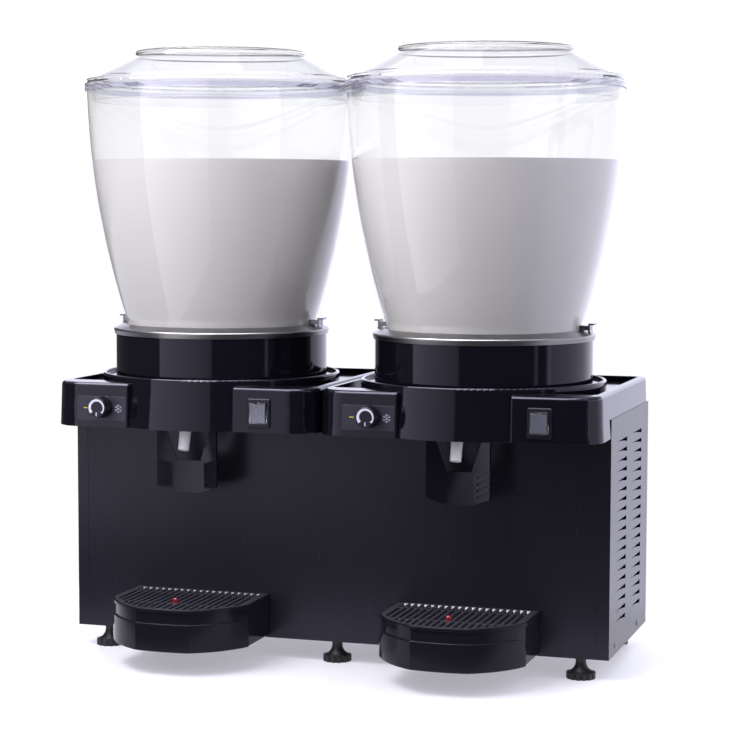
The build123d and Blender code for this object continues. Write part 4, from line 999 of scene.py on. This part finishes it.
class Recipe:
    """A Geometry Nodes tree with named inputs that is turned into a plain mesh."""

    def __init__(self, name: str, sizes: dict[str, float]) -> None:
        """Makes the empty tree.

        Args:
            name: The tree's name.
            sizes: Its inputs beside the geometry, in metres or radians.
        """
        self.tree = bpy.data.node_groups.new(name, "GeometryNodeTree")
        sockets = self.tree.interface
        sockets.new_socket("Geometry", in_out="INPUT", socket_type="NodeSocketGeometry")
        for label, value in sizes.items():
            sockets.new_socket(label, in_out="INPUT", socket_type="NodeSocketFloat").default_value = value
        sockets.new_socket("Geometry", in_out="OUTPUT", socket_type="NodeSocketGeometry")
        self.graph = Graph(self.tree)
        self.given = self.graph.add("NodeGroupInput").outputs
        self.made = self.graph.add("NodeGroupOutput")

    def together(self, shapes: Sequence[Socket]) -> Socket:
        """Joins shapes into one.

        Args:
            shapes: The shapes.

        Returns:
            The one shape.
        """
        whole = self.graph.add("GeometryNodeJoinGeometry")
        for shape in shapes:
            self.graph.join(shape, whole.inputs[0])
        return whole.outputs[0]

    def scatter(self, points: Socket, shape: Socket, turn: Socket, finish: Finish) -> None:
        """Gives the tree its result: one shape on each point.

        Args:
            points: Where the shapes go.
            shape: The shape at the origin.
            turn: How each one is turned.
            finish: Their finish.
        """
        inputs = {"Points": points, "Instance": shape, "Rotation": turn}
        many = self.graph.out("GeometryNodeInstanceOnPoints", inputs)
        real = self.graph.out("GeometryNodeRealizeInstances", {0: many})
        done = self.graph.out("GeometryNodeSetMaterial", {"Geometry": real, "Material": finish.material()})
        self.graph.feed(self.made, {0: done})

    def run(self, name: str, spots: Sequence[Sequence[float]] = ()) -> bpy.types.Mesh:
        """Runs the tree on points.

        Args:
            name: The name of the mesh that comes out.
            spots: The points that go in, in metres.

        Returns:
            The plain mesh.
        """
        seed = bpy.data.meshes.new(f"{name}_seed")
        seed.from_pydata(spots, [], [])
        holder = placed(seed.name, seed)
        holder.modifiers.new("recipe", "NODES").node_group = self.tree
        return baked(holder, name)


@dataclass
class Snowflake:
    """A plain frost sign, in millimetres, whose strokes are shares of its reach."""

    reach: float
    bar: float = 0.85
    height: float = 0.24
    arms: int = 6
    strokes: tuple[tuple[Point2, Point2], ...] = (
        ((0.0, 0.0), (0.9, 0.0)),
        ((0.5, 0.0), (0.82, 0.27)),
        ((0.5, 0.0), (0.82, -0.27)),
    )

    def mesh(self, name: str, ink: Finish) -> bpy.types.Mesh:
        """Builds the sign flat at the origin.

        Args:
            name: The mesh's name.
            ink: Its finish.

        Returns:
            The mesh, in metres.
        """
        recipe = Recipe(name, {"Reach": self.reach * MM, "Bar": self.bar * MM, "Height": self.height * MM})
        graph, given = recipe.graph, recipe.given
        inputs = {"Width": given["Height"], "Height": given["Bar"]}
        section = graph.out("GeometryNodeCurvePrimitiveQuadrilateral", inputs)
        lines = []
        for stroke in self.strokes:
            ends = {}
            for end, point in zip(("Start", "End"), stroke):
                ends[end] = graph.whole(*(graph.maths("MULTIPLY", given["Reach"], share) for share in point))
            lines.append(graph.out("GeometryNodeCurvePrimitiveLine", ends))
        inputs = {"Curve": recipe.together(lines), "Profile Curve": section, "Fill Caps": True}
        arm = graph.out("GeometryNodeCurveToMesh", inputs)
        points = graph.out("GeometryNodePoints", {"Count": self.arms})
        turn = graph.maths("MULTIPLY", graph.out("GeometryNodeInputIndex"), 2 * pi / self.arms)
        recipe.scatter(points, arm, graph.whole(z=graph.maths("ADD", turn, pi / 2)), ink)
        return recipe.run(name)


@dataclass
class Console(UnitSet):
    """The two consoles of one unit: thermostat knob with its printed field, and the double switch.

    The film has its four edges, the tick and the flake a place and a length, and the pointer half its
    width and both ends.
    """

    face: float = -123.3
    skirt: float = 253.5
    draft: float = 2.0
    knob_offset: float = -88.6
    knob_height: float = 275.0
    knob_reach: float = 16.28
    ink: float = 0.12
    scale_radius: float = 9.2
    scale_start: float = 222.0
    scale_sweep: float = 262.0
    scale_steps: int = 60
    scale_width: float = 3.3
    scale_taper: float = 1.9
    scale_tip: float = 6.4
    pointer: Point3 = (0.6, -9.0, -4.9)
    film: tuple[float, float, float, float] = (-119.0, 260.5, -62.0, 286.5)
    film_round: float = 1.5
    film_height: float = 0.2
    film_print: float = 0.19
    tick: Point3 = (-108.4, 273.7, 5.2)
    tick_half: float = 0.6
    tick_round: float = 0.5
    flake: Point3 = (-70.4, 273.6, 5.0)

    def plane(self, offset: float, height: float, lift: float) -> Matrix:
        """Gives a place on the leaning front face.

        Args:
            offset: Distance from the bowl's axis to the right, in millimetres.
            height: Height in millimetres.
            lift: Distance in front of the face.

        Returns:
            A matrix whose Z points out of the face.
        """
        lean = radians(self.draft)
        axis = axis_of(self.side)
        out = Vector((0, -cos(lean), sin(lean)))
        up = Vector((0, sin(lean), cos(lean)))
        depth = self.face + (height - self.skirt) * tan(lean)
        spot = axis + Vector((offset, depth, height)) * MM + out * lift * MM
        turn = Matrix((Vector((1, 0, 0)), up, out)).transposed().to_4x4()
        return Matrix.Translation(spot) @ turn

    def build_knob(self) -> None:
        """Dresses the knob and prints its tapering scale and pointer."""
        self.skins({"knob": Finishes.KNOB_BLACK})
        front = self.plane(self.knob_offset, self.knob_height, self.knob_reach)
        rims, bores = [], []
        for step in range(self.scale_steps + 1):
            share = step / self.scale_steps
            turn = radians(self.scale_start - self.scale_sweep * share)
            bore = self.scale_radius - self.scale_width + self.scale_taper * share
            if step >= self.scale_steps - 1:
                bore = self.scale_tip
            for line, radius in ((rims, self.scale_radius), (bores, bore)):
                line.append((radius * cos(turn), radius * sin(turn)))
        half, low, high = self.pointer
        bar = rounded_box(half, low, high, half / 2, 3)
        for label, outline in (("knob_scale", (rims + bores[::-1])[::-1]), ("knob_pointer", bar)):
            mesh = self.shop.plate(self.named(label), outline, front, self.ink)
            self.shop.piece(mesh, Finishes.WHITE_INK, self.named("knob"))

    def build_field(self) -> None:
        """Lays the film round the knob, with its tick and snowflake."""
        left, low, right, high = self.film
        half_x, half_z = (right - left) / 2, (high - low) / 2
        outline = rounded_box(half_x, -half_z, half_z, self.film_round)
        place = self.plane((left + right) / 2, (low + high) / 2, 0.0)
        mesh = self.shop.plate(self.named("film"), outline, place, self.film_height)
        self.shop.piece(mesh, Finishes.FILM, "cabinet")
        x, z, length = self.tick
        outline = rounded_box(length / 2, -self.tick_half, self.tick_half, self.tick_round, 4)
        mesh = self.shop.plate(self.named("tick"), outline, self.plane(x, z, self.film_print), self.ink)
        self.shop.piece(mesh, Finishes.YELLOW_INK, "cabinet")
        x, z, reach = self.flake
        mesh = Snowflake(reach).mesh(self.named("snowflake"), Finishes.WHITE_INK)
        mesh.transform(self.plane(x, z, self.film_print))
        self.shop.piece(mesh, Finishes.WHITE_INK, "cabinet")

    def build(self) -> None:
        """Builds and dresses both consoles."""
        self.build_knob()
        self.build_field()
        self.skins({"switch_body": Finishes.SWITCH_BLACK, "switch_boot": Finishes.BOOT})
        self.skins({"rocker_a": Finishes.ROCKER, "rocker_b": Finishes.ROCKER})


@dataclass
class PanelScrews:
    """The cross-head screws of the side panels, in millimetres."""

    shop: Shop
    head_radius: float = 4.0
    head_height: float = 1.4
    head_steps: int = 40
    top_radius: float = 2.7
    cross_length: float = 4.6
    cross_width: float = 1.0
    cross_depth: float = 0.9

    def build(self) -> None:
        """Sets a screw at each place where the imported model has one."""
        sizes = {
            "Head Radius": self.head_radius * MM,
            "Top Radius": self.top_radius * MM,
            "Head Height": self.head_height * MM,
            "Cross Length": self.cross_length * MM,
            "Cross Width": self.cross_width * MM,
            "Cross Depth": self.cross_depth * MM,
        }
        recipe = Recipe("Panel screws", sizes)
        graph, given = recipe.graph, recipe.given
        inputs = {
            "Vertices": self.head_steps,
            "Radius Top": given["Top Radius"],
            "Radius Bottom": given["Head Radius"],
            "Depth": given["Head Height"],
        }
        head = graph.out("GeometryNodeMeshCone", inputs)
        depth = graph.maths("MULTIPLY", given["Cross Depth"], 2.0)
        length, width = given["Cross Length"], given["Cross Width"]
        sides = (graph.whole(length, width, depth), graph.whole(width, length, depth))
        cross = recipe.together([graph.out("GeometryNodeMeshCube", {"Size": size}) for size in sides])
        inputs = {"Geometry": cross, "Translation": graph.whole(z=given["Head Height"])}
        raised = graph.out("GeometryNodeTransform", inputs)
        inputs = {"Self Intersection": True, 0: head, 1: raised}
        cut = graph.out("GeometryNodeMeshBoolean", inputs, operation="DIFFERENCE", solver="EXACT")
        outward = graph.maths("SIGN", graph.parts(graph.out("GeometryNodeInputPosition"))[0])
        turn = graph.whole(y=graph.maths("MULTIPLY", outward, pi / 2))
        recipe.scatter(given[0], cut, turn, Finishes.SCREW)
        mesh = self.shop.settle(recipe.run("panel_screw_heads", self.places()), self.shop.plate_angle)
        self.shop.piece(mesh, Finishes.SCREW, "cabinet", ["panel_screws"])

    def places(self) -> list[Vector]:
        """Finds the middle of each head's seat on the panels.

        Returns:
            One point for each screw.
        """
        low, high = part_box("panel_screws")
        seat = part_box("side_panel_right")[1].x
        height = (low.z + high.z) / 2
        inset = self.head_radius * MM
        return [Vector((s * seat, y, height)) for s in (-1, 1) for y in (low.y + inset, high.y - inset)]


@dataclass
class Cabinet:
    """The sheet-metal cabinet, its deck mouldings and the machinery inside."""

    shop: Shop
    panels: tuple[str, ...] = ("front_panel", "rear_panel", "side_panel_left", "side_panel_right", "base_pan")
    panel_angle: float = 28.0
    feet: int = 6

    def build(self) -> None:
        """Dresses the cabinet's pieces."""
        for panel in self.panels:
            self.shop.skin(panel, Finishes.SHEET, self.panel_angle)
        for side in Side:
            for part in ("deck", "drum_cover"):
                self.shop.skin(f"{part}_{side}", Finishes.GLOSS_BLACK, axis=axis_of(side))
        for number in range(1, self.feet + 1):
            self.shop.skin(f"foot_{number}", Finishes.FOOT)
        inside = {
            "bowl_seals": Finishes.SEAL,
            "tub_insulation": Finishes.FOAM,
            "agitator_motors": Finishes.MOTOR,
            "thermostats": Finishes.MOTOR,
            "lever_pins": Finishes.SCREW,
            "compressor": Finishes.COMPRESSOR,
            "condenser": Finishes.FINS,
            "fan": Finishes.FAN,
            "fan_motor": Finishes.MOTOR,
            "pipework": Finishes.COPPER,
        }
        for node, finish in inside.items():
            self.shop.skin(node, finish)
        PanelScrews(self.shop).build()


@dataclass
class SlotEnds(UnitSet):
    """The sloping ends at the back of a drip grille's slots."""

    count: int = 19
    pitch: float = 7.4
    width: float = 4.1
    slope: float = 4.0
    thickness: float = 0.2
    lean: float = 51.0
    setback: float = 3.85
    drop: float = 0.02

    def build(self) -> None:
        """Sets a leaning plate in the back of each slot."""
        sizes = {"Width": self.width * MM, "Slope": self.slope * MM, "Thickness": self.thickness * MM}
        recipe = Recipe(f"Slot ends {self.side}", sizes | {"Lean": radians(self.lean)})
        graph, given = recipe.graph, recipe.given
        size = graph.whole(given["Width"], given["Slope"], given["Thickness"])
        plate = graph.out("GeometryNodeMeshCube", {"Size": size})
        recipe.scatter(given[0], plate, graph.whole(x=given["Lean"]), Finishes.SLOT_BLACK)
        mesh = self.shop.settle(recipe.run(self.named("slot_ends"), self.places()), self.shop.plate_angle)
        self.shop.piece(mesh, Finishes.SLOT_BLACK, body_of(self.named("drip_grille")))

    def places(self) -> list[Point3]:
        """Finds the middle of each plate.

        Returns:
            One point for each slot.
        """
        low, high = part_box(f"drip_grille_{self.side}")
        lean, reach, half = radians(self.lean), self.slope / 2, self.thickness / 2
        back = high.y - (self.setback + reach * cos(lean)) * MM
        height = high.z - (self.drop + reach * sin(lean) + half * cos(lean)) * MM
        middle, first = (low.x + high.x) / 2, (self.count - 1) / 2
        return [(middle + (slot - first) * self.pitch * MM, back, height) for slot in range(self.count)]


@dataclass
class TapSet(UnitSet):
    """The tap, its spout and push lever, and the drip tray below."""

    tray_angle: float = 16.0
    ball_radius: float = 3.3
    ball_sunk: float = 0.4
    ball_steps: int = 24
    ball_segments: int = 64

    def build(self) -> None:
        """Dresses the tap and the tray."""
        finishes = {
            "tap_body": Finishes.TAP_BLACK,
            "spout": Finishes.WHITE,
            "tap_lever": Finishes.TAP_BLACK,
            "drip_tray": Finishes.TRAY_BLACK,
            "drip_grille": Finishes.GRILLE_BLACK,
            "float": Finishes.RED,
        }
        self.skins(finishes, drip_tray=self.tray_angle)
        SlotEnds(self.side, self.shop).build()
        self.ball()

    def ball(self) -> None:
        """Sets the round red head on the float's stem."""
        low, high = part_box(f"float_{self.side}")
        height = high.z / MM - self.ball_sunk
        turns = [pi * step / self.ball_steps for step in range(self.ball_steps + 1)]
        profile = [(self.ball_radius * sin(turn), height - self.ball_radius * cos(turn)) for turn in turns]
        mesh = self.shop.lathe(self.named("float_ball"), profile, (low + high) / 2, self.ball_segments)
        self.shop.piece(mesh, Finishes.RED, body_of(self.named("float")))


def aimed(spot: Point3, target: Point3, roll: float = 0.0) -> Matrix:
    """Places a lamp or camera that looks at a target, rolled by some degrees about its line of sight."""
    turn = (Vector(target) - Vector(spot)).to_track_quat("-Z", "Y").to_matrix()
    return Matrix.Translation(spot) @ (turn @ Matrix.Rotation(radians(roll), 3, "Z")).to_4x4()


@dataclass
class Softbox:
    """A plain rectangular lamp that shines to one side and may fade across its width."""

    name: str
    centre: Point3
    aim: Point3
    width: float
    height: float
    radiance: float
    fall: Point2 = (1.0, 1.0)
    on_matt: bool = True
    on_gloss: bool = True
    tint: Colour = (0.98, 0.965, 1.04)

    def build(self) -> None:
        """Hangs the lamp, which the camera doesn't see."""
        data = bpy.data.lights.new(self.name, "AREA")
        data.shape = "RECTANGLE"
        data.size, data.size_y = self.width, self.height
        data.energy = self.radiance * pi * self.width * self.height
        data.color = self.tint
        data.use_nodes = True
        graph = Graph(data.node_tree)
        across = graph.parts(graph.out("ShaderNodeNewGeometry", output="Parametric"))[0]
        graph.feed(data.node_tree.nodes["Emission"], {"Strength": graph.ranged(across, 0.0, 1.0, *self.fall)})
        lamp = placed(self.name, data)
        lamp.matrix_world = aimed(self.centre, self.aim)
        lamp.visible_camera = False
        lamp.visible_diffuse = self.on_matt
        lamp.visible_glossy = self.on_gloss
        lamp.visible_transmission = self.on_matt and self.on_gloss


@dataclass
class Studio:
    """White floor, soft windows and boxes round the object, and the camera.

    The bands give azimuth in degrees and radiance; the fades are heights of a ray's direction.
    """

    eye: Point3 = (0.7077, -2.15825, 0.4985)
    target: Point3 = (-0.0158, 0.11205, 0.3080)
    roll: float = 0.139
    lens: float = 103.15
    sensor: float = 36.0
    clip: Point2 = (0.05, 50.0)
    floor_half: Point3 = (0.62, 0.42, 1.0)
    floor_centre: Point3 = (0.0, 0.06, -0.0003)
    floor_steps: int = 128
    floor_colour: Colour = (0.61, 0.61, 0.61)
    floor_roughness: float = 0.45
    floor_gloss: float = 0.3
    floor_lift: float = 0.36
    floor_glow: Colour = (0.975, 0.955, 1.06)
    floor_fade: Point2 = (0.78, 1.0)
    low_band: Band = (
        (-180, 2.4), (-150, 1.4), (-146, 0.08), (-100, 0.08), (-62, 0.16), (-10, 0.1), (58, 0.1),
        (68.5, 0.1), (69.5, 0.9), (71.5, 0.9), (72.5, 0.1), (82, 0.1), (88, 2.0), (135, 2.4), (180, 2.4),
    )
    high_band: Band = (
        (-180, 1.6), (-140, 0.9), (-100, 0.4), (-40, 0.7), (20, 0.7), (60, 1.1),
        (90, 2.0), (135, 2.4), (180, 1.6),
    )
    under_band: Band = (
        (-180, 1.1), (-146, 1.0), (-110, 0.8), (-85, 0.4), (-62, 0.1), (60, 0.1), (85, 1.0), (180, 1.1),
    )
    back_band: Band = ((-180, 1.3), (-165, 1.0), (141, 1.0), (160, 1.4), (180, 1.3))
    band_top: float = 3.0
    high_fade: Point2 = (0.25, 0.6)
    under_fade: Point2 = (-0.11, -0.18)
    tint: Colour = (0.94, 0.94, 1.13)
    white: Colour = (1.0, 1.0, 1.0)
    backdrop: Point3 = (0.5, 0.866, 0.0)
    backdrop_edge: float = 0.469
    back_foot: Point2 = (0.0, 0.03)
    back_fade: Point2 = (0.22, 0.42)
    back_light: Point2 = (2.0, 0.7)
    boxes: tuple[Softbox, ...] = field(
        default_factory=lambda: (
            Softbox("left_panel", (-0.247, -0.6, 0.49), (0.065, -0.21, 0.49), 0.67, 0.84, 1.2, (1.3, 0.4)),
            Softbox("key_box", (-0.52, -0.69, 1.45), (0.0, 0.0, 0.35), 1.3, 0.62, 8.9),
            Softbox("right_fill", (1.05, -1.0, 0.5), (0.0, 0.0, 0.42), 0.8, 0.8, 1.8, on_gloss=False),
            Softbox("edge_strip", (-0.25, -0.25, 1.6), (-0.2, -0.12, 0.3), 1.8, 0.9, 8.5, on_matt=False),
        )
    )

    def ramp(self, graph: Graph, turn: Socket, stops: Band) -> Socket:
        """Lays radiance round the horizon.

        Args:
            graph: The world's graph.
            turn: The direction round the upright axis, from 0 to 1.
            stops: Azimuth in degrees and radiance.

        Returns:
            The radiance.
        """
        node = graph.add("ShaderNodeValToRGB", {0: turn})
        elements = node.color_ramp.elements
        while len(elements) < len(stops):
            elements.new(0.5)
        for element, (azimuth, level) in zip(elements, stops):
            element.position = (azimuth + 180) / 360
            share = level / self.band_top
            element.color = (*(share * tone for tone in self.tint), 1)
        return graph.scaled(node.outputs[0], self.band_top)

    def seen(self, graph: Graph, way: Socket) -> tuple[Socket, Socket]:
        """Finds the rays that see the white ground.

        Args:
            graph: The world's graph.
            way: The ray's direction.

        Returns:
            1 for a look straight at it or through clear plastic, and 1 for a mirror image of it.
        """
        path = graph.add("ShaderNodeLightPath").outputs
        through = graph.maths("MAXIMUM", path["Is Transmission Ray"], path["Transmission Depth"])
        through = graph.maths("GREATER_THAN", through, 0.5)
        bare = graph.maths("MULTIPLY", path["Is Glossy Ray"], graph.maths("SUBTRACT", 1.0, through))
        fresh = graph.maths("LESS_THAN", path["Diffuse Depth"], 0.5)
        facing = graph.measure("DOT_PRODUCT", way, self.backdrop)
        behind = graph.maths("GREATER_THAN", facing, self.backdrop_edge)
        looked = graph.maths("MAXIMUM", path["Is Camera Ray"], graph.maths("MULTIPLY", through, fresh))
        return looked, graph.maths("MULTIPLY", bare, behind)

    def build_world(self) -> None:
        """Sets the windows round the object and the white that the camera sees."""
        world = bpy.data.worlds.new("studio")
        bpy.context.scene.world = world
        world.use_nodes = True
        graph = Graph(world.node_tree)
        ray = graph.out("ShaderNodeTexCoord", output="Generated")
        x, y, z = graph.parts(ray)
        azimuth = graph.maths("ARCTAN2", x, graph.maths("MULTIPLY", y, -1.0))
        turn = graph.maths("MULTIPLY_ADD", azimuth, 0.5 / pi, 0.5)
        bands = (self.low_band, self.high_band, self.under_band, self.back_band)
        low, high, under, back = (self.ramp(graph, turn, band) for band in bands)
        sink = graph.ranged(z, *self.under_fade, curve="SMOOTHSTEP")
        rise = graph.ranged(z, *self.high_fade, curve="SMOOTHSTEP")
        light = graph.mixed(rise, graph.mixed(sink, low, under), high)
        sky = graph.scaled(self.tint, graph.ranged(z, *self.back_fade, *self.back_light))
        glow = graph.mixed(graph.ranged(z, *self.back_foot), back, sky)
        looked, mirrored = self.seen(graph, ray)
        shown = graph.mixed(looked, graph.mixed(mirrored, light, glow), self.white)
        graph.feed(world.node_tree.nodes["Background"], {"Color": shown})

    def build_floor(self) -> None:
        """Lays the pale floor that keeps the object's shadow and thins out into the white round it."""
        work = bmesh.new()
        bmesh.ops.create_circle(work, cap_ends=True, segments=self.floor_steps, radius=1.0)
        bmesh.ops.scale(work, vec=Vector(self.floor_half), verts=work.verts)
        mesh = drawn(work, "floor")
        floor = placed("floor", mesh)
        floor.location = self.floor_centre
        paint = bpy.data.materials.new("pale_floor")
        paint.use_nodes = True
        graph = Graph(paint.node_tree)
        path = graph.add("ShaderNodeLightPath").outputs
        looked = graph.maths("MAXIMUM", path["Is Camera Ray"], path["Is Glossy Ray"])
        looked = graph.maths("MAXIMUM", looked, path["Is Transmission Ray"])
        reach = graph.measure("LENGTH", graph.vector("DIVIDE", graph.place(), self.floor_half))
        inputs = {
            "Base Color": (*self.floor_colour, 1),
            "Roughness": self.floor_roughness,
            "Specular IOR Level": self.floor_gloss,
            "Emission Color": (*self.floor_glow, 1),
            "Emission Strength": graph.maths("MULTIPLY", looked, self.floor_lift),
            "Alpha": graph.ranged(reach, *self.floor_fade, 1.0, 0.0, "SMOOTHSTEP"),
        }
        graph.feed(paint.node_tree.nodes["Principled BSDF"], inputs)
        mesh.materials.append(paint)

    def build_camera(self) -> None:
        """Stands the camera where the photograph was taken from."""
        data = bpy.data.cameras.new("camera")
        data.lens = self.lens
        data.sensor_fit = "VERTICAL"
        data.sensor_height = self.sensor
        data.clip_start, data.clip_end = self.clip
        camera = placed("camera", data)
        camera.matrix_world = aimed(self.eye, self.target, self.roll)
        bpy.context.scene.camera = camera

    def build(self) -> None:
        """Builds the studio."""
        bpy.context.scene.view_settings.view_transform = "Standard"
        self.build_world()
        self.build_floor()
        self.build_camera()
        for box in self.boxes:
            box.build()


def main() -> None:
    """Builds the dispenser's pieces in order, then the studio."""
    logging.basicConfig(level=logging.INFO, format="%(name)s: %(message)s")
    shop = Shop()
    Cabinet(shop).build()
    for side in Side:
        BowlSet(side, shop).build()
        Console(side, shop).build()
        TapSet(side, shop).build()
    Studio().build()


if __name__ == "__main__":
    main()
